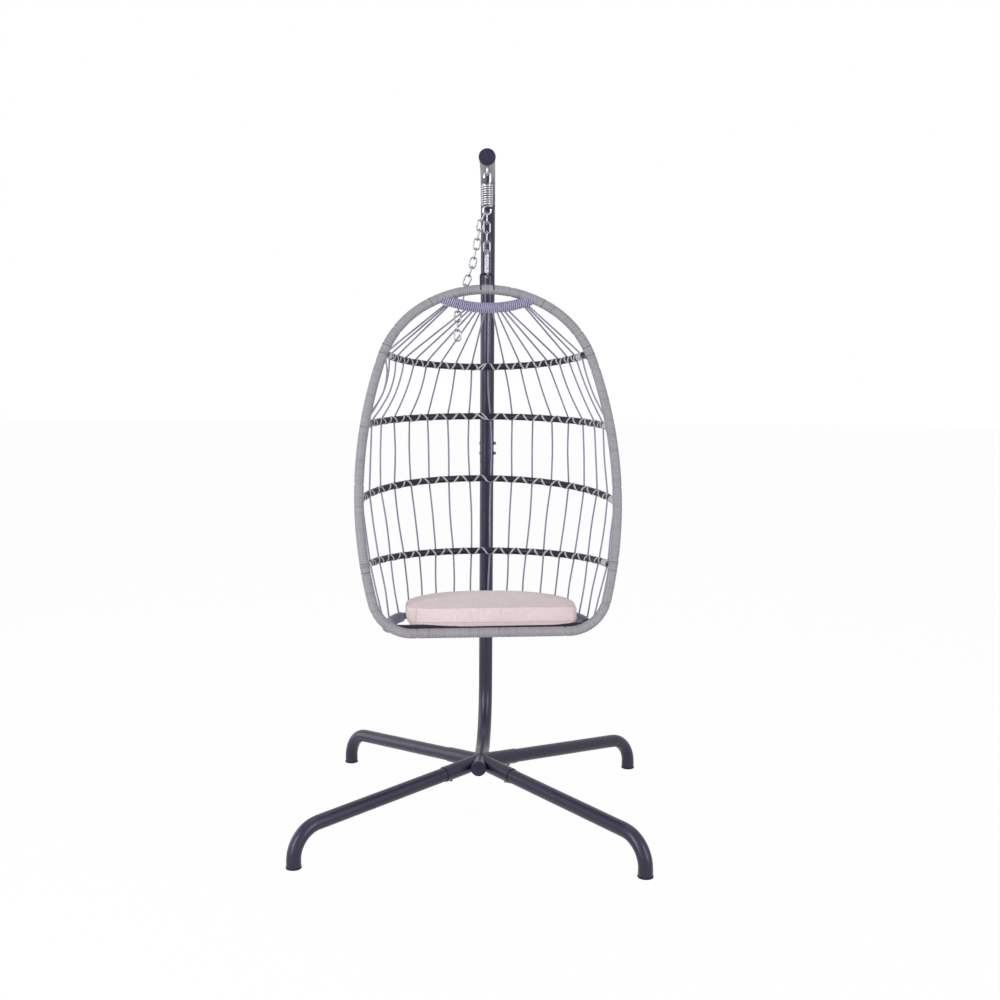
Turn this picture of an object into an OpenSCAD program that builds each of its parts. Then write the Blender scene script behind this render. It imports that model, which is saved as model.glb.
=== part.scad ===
// Hanging egg chair: a rope-backed basket on a C-shaped tube stand.
// Millimetres. +Z is up, -Y is the front, the origin is on the floor in the
// middle of the four feet.

/* [Stand] */
// Distance between neighbouring feet, centre to centre
foot_span = 926; // [860:2:1000]
// Height of the arm's centre line above the floor
arm_height = 1883; // [1860:1:1940]
// Outer diameter of the upper pole
pole_od = 43; // [41:0.5:46]
// Wall of the pole tubes
pole_wall = 1.5; // [1.2:0.1:2]
// Distance of the pole behind the middle of the base
pole_back = 250; // [235:5:280]
// Distance from the pole's centre line forward to the hanging point
hang_reach = 390; // [380:5:410]
// Length of arm past the hanging point
arm_past_eye = 60; // [45:1:80]
// Centre-line radius of the bend at the top of the pole
arm_bend = 220; // [180:5:250]
// Centre-line radius of the bend at the foot of the pole
foot_bend = 170; // [150:5:190]
// Distance of the stub's capped end in front of the middle of the base
stub_front = 75; // [68:1:90]
// Height of the joint between the two pole tubes
joint_height = 1031; // [950:1:1100]
// Length of the swaged end inside the upper pole
spigot_length = 100; // [90:1:130]
// Turn of the upper pole on the lower one, in degrees
arm_turn = 3; // [-5:0.5:6]
// Outer diameter of a leg tube
leg_od = 40; // [36:0.5:41]
// Wall of a leg tube
leg_wall = 1.5; // [1.2:0.1:2]
// Fall of a leg towards its foot, in degrees
leg_slope = 5; // [3:0.5:6]
// Centre-line radius of a leg's bend down to the floor
leg_bend = 85; // [75:1:95]
// Height at which a leg's bend starts above the floor
foot_straight = 22; // [20:1:30]
// Reach of a leg socket from the middle of the base
socket_reach = 140; // [130:1:160]

/* [Suspension] */
// Bar diameter of the eye under the arm
eye_bar = 6; // [5:0.5:7]
// Centre-line radius of the eye
eye_radius = 11; // [10:0.5:13]
// Depth of the eye's lowest centre line below the arm's underside
eye_depth = 15.5; // [14:0.5:19]
// Wire diameter of the spring and its hooks
wire = 5.4; // [5:0.1:5.6]
// Outer diameter of the spring's coil
coil_od = 33; // [31:0.5:36]
// Number of turns in the coil
coil_turns = 9; // [6:1:10]
// Rise of the coil in one turn
coil_pitch = 6.1; // [6.05:0.05:6.4]
// Height of the upper hook, between wire centres
upper_hook_h = 32.6; // [30:0.2:38]
// Centre-line radius of the upper hook
upper_hook_r = 8.5; // [8:0.5:10]
// Height of the lower hook, between wire centres
lower_hook_h = 23.4; // [23:0.2:30]
// Centre-line radius of the lower hook
lower_hook_r = 10.4; // [10:0.2:11]
// Wire diameter of a chain link
link_wire = 4.5; // [4:0.1:4.8]
// Inner length of a chain link
link_inner = 26.3; // [25:0.1:28]
// Outer width of a chain link
link_width = 21.5; // [20:0.5:23]
// Wire diameter of the carabiner
clip_wire = 7; // [6:0.5:7.5]
// Outer length of the carabiner
clip_length = 79; // [76:1:84]
// Outer width of the carabiner
clip_width = 38; // [36:1:42]
// Turn of the carabiner about the vertical, in degrees
clip_turn = 11; // [0:1:14]

/* [Basket] */
// Turn of the basket about the vertical, in degrees
basket_turn = 6; // [0:0.5:8]
// Lean of the basket's ring, bottom forward, in degrees
basket_lean = 10.2; // [6:0.1:14]
// Centre-line radius of the ring's top
ring_crown_r = 335; // [325:1:345]
// Centre-line radius of the ring's shoulders
ring_shoulder_r = 268; // [255:1:280]
// Centre-line radius of the ring's sides
ring_side_r = 1172; // [1140:1:1190]
// Centre-line radius of the ring's lower corners
ring_corner_r = 110; // [100:1:120]
// Outer diameter of the ring's tube
ring_od = 22; // [20:0.5:24]
// Wall of the basket's tubes
frame_wall = 1.2; // [1:0.1:1.6]
// Thickness of the wicker wound on the ring
wicker = 2.4; // [2:0.1:3]
// Depth of the first hoop behind the ring
hoop_1_depth = 282; // [270:1:290]
// Depth of the second hoop behind the ring
hoop_2_depth = 335; // [325:1:345]
// Depth of the third hoop behind the ring
hoop_3_depth = 352; // [342:1:360]
// Depth of the fourth hoop behind the ring
hoop_4_depth = 346; // [336:1:354]
// Outer diameter of a hoop's tube
hoop_od = 19; // [17:0.5:20]
// Diameter of a rope of the back
rope = 5; // [4:0.5:5.5]
// Number of ropes in the back
rope_count = 18; // [10:2:20]
// Bar diameter of the loop on top of the ring
loop_bar = 8; // [7:0.5:9]
// Outer width of the loop on top of the ring
loop_width = 40; // [36:1:44]
// Height of the loop's centre line above the ring's centre line
loop_rise = 43; // [40:1:50]
// Distance of the top bar's ends from the ring's middle
bar_half = 128; // [120:1:135]
// Sag of the top bar below its ends
bar_sag = 26; // [20:1:30]
// Half width of the seat frame
seat_half = 272; // [262:1:276]
// Depth of the seat frame
seat_depth = 316; // [312:1:320]
// Rise of the seat frame towards the back, in degrees
seat_rise = 9; // [7:0.5:10]
// Diameter of a seat rod
seat_rod = 8; // [6:0.5:10]
// Width of the cushion
cushion_w = 486; // [450:2:490]
// Sideways place of the loose cushion on its frame
cushion_side = 6; // [-8:1:8]
// Depth of the cushion
cushion_d = 312; // [280:2:314]
// Thickness of the cushion at its edge
cushion_h = 50; // [40:1:58]
// Rise of the cushion's crown
cushion_crown = 12; // [6:1:16]

/* [Hidden] */
$fn = 48;

// Clearances: a push fit, a loose seat, a hanging contact and a soft seat
fit = 0.1;
seat = 0.05;
play = 0.3;
soft = 0.4;
// Overshoot of a cutting tool
over = 1;
// A bend narrows the tube's radius by this much and laps into the piece beside it
narrow = 0.25;
lap = 0.3;
// Facets of a wide arc
fine = 200;

// Stand, derived
lower_od = pole_od - 1;
spigot_od = pole_od - 2 * pole_wall - 2 * fit;
foot_r = foot_span / sqrt(2);
bend_r = foot_r - leg_bend;
leg_straight = (bend_r + leg_bend * sin(leg_slope)) / cos(leg_slope);
hub_z = foot_straight + leg_bend * cos(leg_slope) + leg_straight * sin(leg_slope);
leg_bore = leg_od - 2 * leg_wall;
socket_bore = leg_od + 2 * fit;
socket_od = socket_bore + 4;
socket_floor = lower_od * sqrt(0.5) + socket_bore / 2 + 2;
foot_pad = 5;
arm_end = hang_reach + arm_past_eye;
LEG_TURNS = [-135, -45, 135, 45];
bolt_d = 6;
bolt_hole = bolt_d + 0.6;
pole_bolt_d = 8;
pole_bolt_rise = [28, 59];

// Suspension, derived: heights of wire centres, from the eye down
eye_z = arm_height - pole_od / 2 - eye_depth;
hook_top_z = eye_z + (eye_bar + wire) / 2 + play;
cross_rise = 1;
coil_top_z = hook_top_z - upper_hook_h - cross_rise;
coil_bottom_z = coil_top_z - coil_turns * coil_pitch;
hook_low_z = coil_bottom_z - cross_rise - lower_hook_h;
coil_r = (coil_od - wire) / 2;
link_r = (link_width - link_wire) / 2;
link_span = link_inner + link_wire;
link_step = link_inner - play;
link_top_z = hook_low_z + (wire + link_wire) / 2 + play;
last_link_z = link_top_z - 3 * link_step - link_span;
clip_top_z = last_link_z + (link_wire + clip_wire) / 2 + play;
clip_r = (clip_width - clip_wire) / 2;
clip_low_z = clip_top_z - (clip_length - clip_wire);
loop_z = clip_low_z + (clip_wire + loop_bar) / 2 + play;

// The gate of the carabiner: a rod between two stubs on the front side
gate_stub = 6;
gate_d = 6;
pin_d = 2;
lug_t = 2.6;
gate_low_z = clip_low_z + clip_r + gate_stub;
gate_high_z = clip_top_z - clip_r - gate_stub;

// The ring's right half from its top, as [radius, turn in degrees] of tangent arcs
RING_ARCS = [[ring_crown_r, 32], [ring_shoulder_r, 39], [ring_side_r, 33], [ring_corner_r, 76]];
ring_top = -loop_rise;
wicker_bore = ring_od + 2 * seat;
wicker_od = ring_od + 2 * wicker;

// The hoops from the top: [heading on the ring, depth, rise towards the back]
HOOPS = [[66.5, hoop_1_depth, 1.5], [80.7, hoop_2_depth, 13.5], [91, hoop_3_depth, 17],
    [99.5, hoop_4_depth, 10]];
// Angle over which the ropes spread on each hoop
ROPE_SPREAD = [66, 80, 80, 77];
hoop_start = wicker_od / 2 + 8;
tab_t = 3;
tab_w = 14;
tab_back = 44;
tab_bolt_back = 34;

// Top bar: an arc through its two ends and its lowest point
bar_heading = asin(bar_half / RING_ARCS[0][0]);
bar_end_z = ring_top - RING_ARCS[0][0] * (1 - cos(bar_heading));
bar_r = (bar_half * bar_half + bar_sag * bar_sag) / (2 * bar_sag);
bar_turn = asin(bar_half / bar_r);
bar_low_z = bar_end_z - bar_sag;

// Seat frame: a D in its own plane, hung just above the ring's bottom rail
rail_z = ring_point(180)[1];
seat_z = rail_z + 14;
seat_front = wicker_od / 2 + hoop_od / 2 + 3;
seat_corner = 40;
SEAT_ROD_X = [-150, -50, 50, 150];
// Seat tab at (x, z): its top lies under the front bar
seat_tab_x = 190;
SEAT_TAB = [seat_tab_x, seat_z - hoop_od / 2 - seat - tab_t / 2];
// Vent holes in the ring's rail
vent_x = 205;
vent_d = 6;
// Arc length along the frame, from its back, at which the outermost ropes end
seat_spread = 420;
// Ropes on the top bar: three lashed at each end, the rest within a half width
lash_end = 98;
lash_step = 5.8;
lash_inner = 60;

// Windings: the top bar stays bare over a turn, in degrees, at each end
winding_rings = 10;
bar_loops = 24;
bar_bare = 7;
side_loops = 12;
side_wound = 130;

// ---------------------------------------------------------------- helpers

function unit(v) = v / norm(v);

// Facets of an arc of radius r
function facets(r) = r > 60 ? fine : $fn;

// Bar of diameter d bent about (x, z) in the XZ plane
module xz_arc(x, z, r, d, from, turn)
    translate([x, 0, z]) rotate([90, 0, 0]) rotate([0, 0, from])
        rotate_extrude(angle = turn, $fn = facets(r)) translate([r, 0]) circle(d = d, $fn = 48);

// Bar of diameter d bent about (y, z) in the YZ plane
module yz_arc(y, z, r, d, from, turn)
    translate([0, y, z]) rotate([90, 0, 90]) rotate([0, 0, from])
        rotate_extrude(angle = turn, $fn = facets(r)) translate([r, 0]) circle(d = d, $fn = 48);

// Bar of diameter d bent about (x, y) in the XY plane
module xy_arc(x, y, r, d, from, turn)
    translate([x, y, 0]) rotate([0, 0, from])
        rotate_extrude(angle = turn, $fn = facets(r)) translate([r, 0]) circle(d = d, $fn = 48);

// Cylinder along +Y from the origin
module y_bar(d, h) rotate([-90, 0, 0]) cylinder(d = d, h = h);

// Cylinder along +X from the origin
module x_bar(d, h) rotate([0, 90, 0]) cylinder(d = d, h = h);

// Direction of a tube at point i of its route
function heading(pts, i) =
    unit(pts[min(i + 1, len(pts) - 1)] - pts[max(i - 1, 0)]);

// Ring of a swept tube: the corners about point i, square to its heading
function tube_ring(pts, i, d, sides, ref) =
    let (t = heading(pts, i),
        n = unit(ref - (ref * t) * t),
        b = cross(t, n))
    [for (k = [0 : sides - 1]) pts[i]
        + (cos(360 * k / sides) * n + sin(360 * k / sides) * b) * d / 2];

// One unbroken tube along a route
module tube(pts, d, sides, ref) {
    last = len(pts) - 1;
    corners = [for (i = [0 : last]) each tube_ring(pts, i, d, sides, ref)];
    walls = [for (i = [0 : last - 1], k = [0 : sides - 1])
        let (a = i * sides + k, b = i * sides + (k + 1) % sides)
        each [[a, b + sides, b], [a, a + sides, b + sides]]];
    ends = [for (k = [1 : sides - 2]) each [[0, k, k + 1],
        [last * sides, last * sides + k + 1, last * sides + k]]];
    polyhedron(points = corners, faces = concat(walls, ends), convexity = 8);
}

// Frame of the upper pole: its own axis upright at the origin
module arm_frame() translate([0, pole_back, 0]) rotate([0, 0, arm_turn]) children();

// Frame of the suspension: the vertical line through the hanging point
module hang_frame() arm_frame() translate([0, -hang_reach, 0]) children();

// Frame of the basket: its loop's top bar at the origin, the ring in XZ
module basket_frame()
    hang_frame() translate([0, 0, loop_z])
        rotate([0, 0, basket_turn]) rotate([-basket_lean, 0, 0]) children();

// ------------------------------------------------------------------ stand

// Outline of the lower pole as a solid bar: stub, bend and upright
module lower_route(d, stub_end, top) {
    translate([0, -stub_end, hub_z]) y_bar(d, stub_end + pole_back - foot_bend);
    yz_arc(pole_back - foot_bend, hub_z + foot_bend, foot_bend, d, -90, 90);
    translate([0, pole_back, hub_z + foot_bend]) cylinder(d = d, h = top - hub_z - foot_bend);
}

// A leg's straight axis as local +Z, from the middle of the base outwards
module along_leg(turn)
    rotate([0, 0, turn]) translate([0, 0, hub_z]) rotate([0, 90 + leg_slope, 0]) children();

module lower_pole() color("#3b3944") {
    difference() {
        union() {
            lower_route(lower_od, stub_front, joint_height);
            translate([0, pole_back, joint_height - over])
                cylinder(d = spigot_od, h = spigot_length + over);
            for (turn = LEG_TURNS) along_leg(turn) cylinder(d = socket_od, h = socket_reach);
        }
        lower_route(lower_od - 2 * pole_wall, stub_front + over, joint_height - 15);
        translate([0, pole_back, joint_height - 15 - over])
            cylinder(d = spigot_od - 2 * pole_wall, h = spigot_length + 15 + 2 * over);
        for (turn = LEG_TURNS) along_leg(turn) {
            translate([0, 0, socket_floor])
                cylinder(d = socket_bore, h = socket_reach - socket_floor + over);
            leg_bolt_hole();
        }
        arm_frame() pole_bolt_holes();
    }
}

// Hole through the underside of a socket and its leg
module leg_bolt_hole()
    translate([0, 0, socket_reach - 24]) x_bar(bolt_hole, socket_od);

// Holes across both pole tubes at the sleeve
module pole_bolt_holes()
    for (rise = pole_bolt_rise)
        translate([-pole_od, 0, joint_height + rise]) x_bar(pole_bolt_d + 0.6, 2 * pole_od);

// Plastic plug with a rounded flange, its flange's outer face at z = 0, facing down
module end_plug(bore, flange_d, flange_t) {
    plug_r = bore / 2 - fit;
    rotate_extrude() polygon([
        [0, 0], [flange_d / 2 - 2, 0], [flange_d / 2 - 0.6, 0.6], [flange_d / 2, 2],
        [flange_d / 2, flange_t], [plug_r, flange_t], [plug_r, flange_t + 14],
        [plug_r - 2.5, flange_t + 16], [plug_r - 2.5, flange_t], [0, flange_t]]);
}

module stub_cap() color("#26252b")
    translate([0, -stub_front - 4 - seat, hub_z]) rotate([-90, 0, 0])
        end_plug(lower_od - 2 * pole_wall, lower_od + 2.5, 4);

// Outline of a leg as a solid bar in the XZ plane, foot at +X
module leg_route(d, start, foot_z) {
    more = lap / leg_bend * 180 / PI;
    translate([0, 0, hub_z]) rotate([0, 90 + leg_slope, 0])
        translate([0, 0, start]) cylinder(d = d, h = leg_straight - start);
    xz_arc(bend_r, foot_straight, leg_bend, d - 2 * narrow, -more, 90 - leg_slope + 2 * more);
    translate([foot_r, 0, foot_z]) cylinder(d = d, h = foot_straight - foot_z);
}

module leg(turn) color("#3b3944")
    difference() {
        rotate([0, 0, turn]) leg_route(leg_od, socket_floor + 3, foot_pad + seat);
        rotate([0, 0, turn]) leg_route(leg_bore, socket_floor + 3 - over, foot_pad - over);
        along_leg(turn) leg_bolt_hole();
    }

module foot_cap(turn) color("#1d1c20")
    rotate([0, 0, turn]) translate([foot_r, 0, 0]) end_plug(leg_bore, leg_od + 2.5, foot_pad);

// Hex-headed bolts up through the undersides of the sockets
module leg_bolts() color("#8a8a8e")
    for (turn = LEG_TURNS)
        along_leg(turn) translate([0, 0, socket_reach - 24]) {
            translate([leg_bore / 2 - 8, 0, 0]) x_bar(bolt_d, 8 + (socket_od - leg_bore) / 2 + 1);
            translate([socket_od / 2 + 0.6, 0, 0]) rotate([0, 90, 0])
                cylinder(d = 11.5, h = 4, $fn = 6);
        }

// Outline of the upper pole as a solid bar in its own frame
module upper_route(d, bottom, end) {
    translate([0, 0, bottom]) cylinder(d = d, h = arm_height - arm_bend - bottom);
    yz_arc(-arm_bend, arm_height - arm_bend, arm_bend, d, 0, 90);
    translate([0, -end, arm_height]) y_bar(d, end - arm_bend);
}

module upper_pole() color("#3b3944")
    arm_frame() difference() {
        upper_route(pole_od, joint_height + seat, arm_end);
        upper_route(pole_od - 2 * pole_wall, joint_height - over, arm_end + over);
        pole_bolt_holes();
    }

// Bolts across the sleeve: round heads on the left, cap nuts on the right
module pole_bolts() color("#2a292f")
    arm_frame() for (rise = pole_bolt_rise)
        translate([0, 0, joint_height + rise]) {
            translate([-pole_od / 2 - 3, 0, 0]) x_bar(pole_bolt_d, pole_od + 8);
            translate([-pole_od / 2 - 3.2, 0, 0]) x_bar(14, 2.8);
            translate([pole_od / 2 + 0.4, 0, 0]) rotate([0, 90, 0])
                cylinder(d = 15, h = 6.5, $fn = 6);
            translate([pole_od / 2 + 6.9, 0, 0]) intersection() {
                sphere(d = 11);
                x_bar(11, 6);
            }
        }

module arm_cap() color("#26252b")
    arm_frame() translate([0, -arm_end - 4 - seat, arm_height]) rotate([-90, 0, 0])
        end_plug(pole_od - 2 * pole_wall, pole_od + 3, 4);

// Welded staple under the arm, in the arm's plane
module hanger_eye() color("#9b9ba0")
    hang_frame() difference() {
        union() {
            yz_arc(0, eye_z + eye_radius, eye_radius, eye_bar, 180, 180);
            for (side = [-1, 1]) translate([0, side * eye_radius, eye_z + eye_radius])
                cylinder(d = eye_bar, h = arm_height - eye_z - eye_radius);
        }
        translate([0, -2 * eye_radius, arm_height]) y_bar(pole_od + 2 * seat, 4 * eye_radius);
    }

// ------------------------------------------------------------- suspension

// Hook with one straight side, from a crossing point at the origin: it starts along +X,
// climbs by height h, turns over and ends in a tip on the other side
module hook(r, h, tip) {
    xz_arc(0, r, r, wire, -90, 90);
    translate([r, 0, r]) cylinder(d = wire, h = h - 2 * r);
    xz_arc(0, h - r, r, wire, 0, 180);
    translate([-r, 0, h - r - tip]) cylinder(d = wire, h = tip);
}

// Half turn that climbs from the coil's rim to the crossing point at the origin
module crossover() rotate([-asin(cross_rise / coil_r), 0, 0]) {
    translate([-wire, 0, 0]) x_bar(wire, wire);
    xy_arc(-wire, coil_r / 2, coil_r / 2, wire, 90, 180);
}

module spring_top_hook() color("#c9c9cd")
    hang_frame() translate([0, 0, coil_top_z + cross_rise]) {
        hook(upper_hook_r, upper_hook_h, 7);
        crossover();
    }

module spring_bottom_hook() color("#c9c9cd")
    hang_frame() translate([0, 0, coil_bottom_z - cross_rise]) rotate([0, 180, 0]) {
        hook(lower_hook_r, lower_hook_h, 4);
        crossover();
    }

// Points of the coil, top end last; each end runs straight for one wire diameter
coil_steps = 8;
COIL_END_GAP = [0.02, 0, 0];
COIL = concat(
    [[wire, coil_r, coil_bottom_z] - COIL_END_GAP],
    [for (k = [0 : coil_turns * coil_steps])
        let (a = 90 + 360 * k / coil_steps)
        [coil_r * cos(a), coil_r * sin(a), coil_bottom_z + coil_pitch * k / coil_steps]],
    [[-wire, coil_r, coil_top_z] + COIL_END_GAP]);

module spring_coil() color("#d4d4d8")
    hang_frame() tube(COIL, wire, 6, [0, 0, 1]);

// Least gap of a route to itself, between points more than half a turn apart
function self_gap(pts, skip, d) =
    min([for (i = [0 : len(pts) - 1 - skip], j = [i + skip : len(pts) - 1])
        norm(pts[i] - pts[j])]) - d;
echo(coil_self_gap = self_gap(COIL, coil_steps - 1, wire));

// One chain link in the XZ plane, its upper wire's centre at the origin
module link() {
    xz_arc(0, -link_r, link_r, link_wire, 0, 180);
    xz_arc(0, link_r - link_span, link_r, link_wire, 180, 180);
    for (side = [-1, 1]) translate([side * link_r, 0, link_r - link_span])
        cylinder(d = link_wire, h = link_span - 2 * link_r);
}

// The two links in the spring's lower hook: the main chain's and the spare end's
module first_links() color("#c9c9cd")
    hang_frame() {
        translate([0, 0, link_top_z]) rotate([0, 0, 90]) link();
        spare_link(0);
    }

module main_chain() color("#c9c9cd")
    hang_frame() for (k = [1 : 3])
        translate([0, 0, link_top_z - k * link_step]) rotate([0, 0, k % 2 == 0 ? 90 : 0]) link();

// Frame of the carabiner: its plane is YZ, the gate towards the front
module clip_frame() hang_frame() rotate([0, 0, clip_turn]) children();

module carabiner_body() color("#c4c4c9")
    clip_frame() {
        yz_arc(0, clip_top_z - clip_r, clip_r, clip_wire, 0, 180);
        yz_arc(0, clip_low_z + clip_r, clip_r, clip_wire, 180, 180);
        translate([0, clip_r, clip_low_z + clip_r])
            cylinder(d = clip_wire, h = clip_top_z - clip_low_z - 2 * clip_r);
        translate([0, -clip_r, gate_high_z]) cylinder(d = clip_wire, h = gate_stub);
        difference() {
            union() {
                translate([0, -clip_r, gate_low_z - gate_stub])
                    cylinder(d = clip_wire, h = gate_stub - 2);
                intersection() {
                    translate([0, -clip_r, gate_low_z - 3]) cylinder(d = gate_d, h = 7);
                    translate([-lug_t / 2, -clip_r - gate_d, gate_low_z - 3])
                        cube([lug_t, 2 * gate_d, 7]);
                }
            }
            translate([-clip_wire, -clip_r, gate_low_z + 1.5]) x_bar(pin_d + 0.1, 2 * clip_wire);
        }
    }

// The gate swings inwards on a pin through the lower lug
module carabiner_gate() color("#b9b9be")
    clip_frame() difference() {
        union() {
            translate([0, -clip_r, gate_low_z + 1.5])
                cylinder(d = gate_d, h = gate_high_z - gate_low_z - 2);
            intersection() {
                translate([-gate_d / 2, -clip_r, gate_low_z + 1.5]) x_bar(gate_d, gate_d);
                translate([0, -clip_r, gate_low_z - 2]) cylinder(d = gate_d, h = 8);
            }
        }
        translate([-lug_t / 2 - 0.15, -clip_r - gate_d, gate_low_z - 3])
            cube([lug_t + 0.3, 2 * gate_d, 8]);
        translate([-clip_wire, -clip_r, gate_low_z + 1.5]) x_bar(pin_d + 0.1, 2 * clip_wire);
    }

module gate_pin() color("#8f8f94")
    clip_frame() translate([-gate_d / 2 + 0.2, -clip_r, gate_low_z + 1.5])
        x_bar(pin_d, gate_d - 0.4);

// The spare end's first link lies in the hook against the main chain's
nest_r = lower_hook_r - (wire + link_wire) / 2 - play;
nest_a = 2 * asin((link_wire + play) / 2 / nest_r);
SPARE_TOP = [-nest_r * sin(nest_a), 0, hook_low_z + lower_hook_r - nest_r * cos(nest_a)];

// Route of the spare chain in the hanging frame: down beside the carabiner, behind the
// ring and the top bar, and plumb from there
SPARE = [SPARE_TOP, [-16, 4, 1723], [-23, 8, 1688], [-29, 9, 1653], [-35, 10, 1620],
    [-46, 11, 1580], [-58, 13, 1552], [-70, 14, 1525], [-78, 14, 1497], [-81, 14, 1465],
    [-80, 14, 1372]];
// Links of the spare end that move with the hook, the main chain and the basket
SPARE_SPLIT = [1, 6, 14];
// Extra play where the spare end passes from one of them to the next
spare_slack = 1.6;

// Length of the route up to point i, and the point at a length s
function run(i) = i == 0 ? 0 : run(i - 1) + norm(SPARE[i] - SPARE[i - 1]);
RUNS = [for (i = [0 : len(SPARE) - 1]) run(i)];
function leg_at(s) = min([for (i = [1 : len(SPARE) - 1]) if (RUNS[i] >= s || i == len(SPARE) - 1) i]);
function spare_point(s) = let (i = leg_at(s))
    SPARE[i - 1] + (SPARE[i] - SPARE[i - 1]) * (s - RUNS[i - 1]) / (RUNS[i] - RUNS[i - 1]);

// Spare link k: its top and bottom wires lie on the route, every second one is turned
module spare_link(k) {
    passed = (k >= SPARE_SPLIT[0] ? 1 : 0) + (k >= SPARE_SPLIT[1] ? 1 : 0);
    start = k * link_step - passed * spare_slack;
    top = spare_point(start);
    dir = unit(spare_point(start + link_span) - top);
    lean = acos(-dir[2]);
    swing = atan2(dir[1], dir[0]);
    translate(top) rotate([0, 0, swing]) rotate([0, -lean, 0])
        rotate([0, 0, (k % 2 == 0 ? 90 : 0) - swing]) link();
}

module spare_chain() color("#bdbdc2")
    hang_frame() for (k = [SPARE_SPLIT[0] : SPARE_SPLIT[1] - 1]) spare_link(k);

module spare_chain_end() color("#bdbdc2")
    hang_frame() for (k = [SPARE_SPLIT[1] : SPARE_SPLIT[2] - 1]) spare_link(k);

// ----------------------------------------------------------------- basket

// Heading at which ring arc i starts, its centre, and the ring's point at a heading
function arc_start(i) = i == 0 ? 0 : arc_start(i - 1) + RING_ARCS[i - 1][1];
function arc_centre(i) = i == 0 ? [0, ring_top - RING_ARCS[0][0]]
    : arc_centre(i - 1) + (RING_ARCS[i - 1][0] - RING_ARCS[i][0])
        * [sin(arc_start(i)), cos(arc_start(i))];
function arc_of(h) = max([for (i = [0 : len(RING_ARCS) - 1]) if (arc_start(i) <= h) i]);
function ring_point(h) = let (i = arc_of(h))
    arc_centre(i) + RING_ARCS[i][0] * [sin(h), cos(h)];

// Arc i of the ring's right half, lapped by a length at both ends
module ring_arc(i, d, past = 0) {
    more = past / RING_ARCS[i][0] * 180 / PI;
    xz_arc(arc_centre(i)[0], arc_centre(i)[1], RING_ARCS[i][0], d,
        90 - arc_start(i) - RING_ARCS[i][1] - more, RING_ARCS[i][1] + 2 * more);
}

// The ring as a solid bar: the top arc, both sides, and the straight rail between them
module ring_route(d) {
    top = RING_ARCS[0];
    rail = ring_point(180)[0];
    xz_arc(0, arc_centre(0)[1], top[0], d, 90 - top[1], 2 * top[1]);
    for (side = [0, 1]) mirror([side, 0, 0]) {
        ring_arc(1, d - 2 * narrow, lap);
        ring_arc(2, d);
        ring_arc(3, d - 2 * narrow, lap);
    }
    translate([-rail, 0, rail_z]) x_bar(d, 2 * rail);
}

// The tube has a vent hole behind each end of its rail
module ring_tube() color("#3b3944")
    basket_frame() difference() {
        ring_route(ring_od);
        ring_route(ring_od - 2 * frame_wall);
        for (side = [-1, 1]) translate([side * vent_x, 0, rail_z]) y_bar(vent_d, ring_od);
    }

// Wicker wound on the ring, open where a tab, the loop or the top bar passes
module ring_wicker() color("#9e999e")
    basket_frame() difference() {
        ring_route(wicker_od);
        ring_route(wicker_bore);
        for (side = [0, 1]) mirror([side, 0, 0]) {
            for (i = [0 : 3]) tab_blade(hoop_end(i), HOOPS[i][2], tab_t + 0.6, tab_w + 0.6, tab_back);
            tab_blade(SEAT_TAB, 0, tab_t + 0.6, tab_w + 0.6, tab_back);
        }
        for (side = [-1, 1]) translate([side * (loop_width - loop_bar) / 2, 0, ring_top])
            cylinder(d = loop_bar + 2 * seat, h = ring_od);
        bar_stub(hoop_od + 2 * seat, 6);
    }

// Bar loop on top of the ring; the carabiner holds its straight top
module hanger_loop() color("#2d2c33")
    basket_frame() {
        half = (loop_width - loop_bar) / 2;
        corner = 7;
        translate([corner - half, 0, 0]) x_bar(loop_bar, 2 * (half - corner));
        xz_arc(half - corner, -corner, corner, loop_bar, 0, 90);
        xz_arc(corner - half, -corner, corner, loop_bar, 90, 90);
        difference() {
            for (side = [-1, 1]) translate([side * half, 0, ring_top])
                cylinder(d = loop_bar, h = -corner - ring_top);
            xz_arc(0, ring_top - RING_ARCS[0][0], RING_ARCS[0][0], ring_od + 2 * seat, 75, 30);
        }
    }

// Where the right end of hoop i meets the ring
function hoop_end(i) = ring_point(HOOPS[i][0]);

// Radius and bend centre of hoop i in its own plane
function hoop_sweep(i) = let (a = hoop_end(i)[0], d = HOOPS[i][1] - hoop_start)
    [(a * a + d * d) / (2 * d), HOOPS[i][1] - (a * a + d * d) / (2 * d)];

// Plane of a hoop: local +Y runs back and up by its rise
module hoop_plane(i) translate([0, 0, hoop_end(i)[1]]) rotate([HOOPS[i][2], 0, 0]) children();

// Flat tab behind the ring at an (x, z) point, rising towards the back
module tab_blade(at, rise, thickness, width, reach)
    translate([at[0], 0, at[1]]) rotate([rise, 0, 0])
        translate([-width / 2, 0, -thickness / 2]) cube([width, reach, thickness]);

module tab(at, rise, reach, bolt_at) difference() {
    tab_blade(at, rise, tab_t, tab_w, reach);
    translate([at[0], 0, at[1]]) rotate([rise, 0, 0]) translate([0, bolt_at, -tab_t])
        cylinder(d = bolt_hole, h = 2 * tab_t);
}

// Tabs welded to the ring: two for each hoop and two under the seat frame's front bar
module hoop_tabs() color("#2d2c33")
    basket_frame() for (side = [0, 1]) mirror([side, 0, 0]) {
        for (i = [0 : 3]) difference() {
            tab(hoop_end(i), HOOPS[i][2], tab_back, tab_bolt_back);
            ring_arc(arc_of(HOOPS[i][0]), ring_od + 2 * seat);
        }
        difference() {
            tab(SEAT_TAB, 0, seat_front + 9, seat_front);
            translate([SEAT_TAB[0] - tab_w, 0, rail_z]) x_bar(ring_od + 2 * seat, 2 * tab_w);
        }
    }

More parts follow.
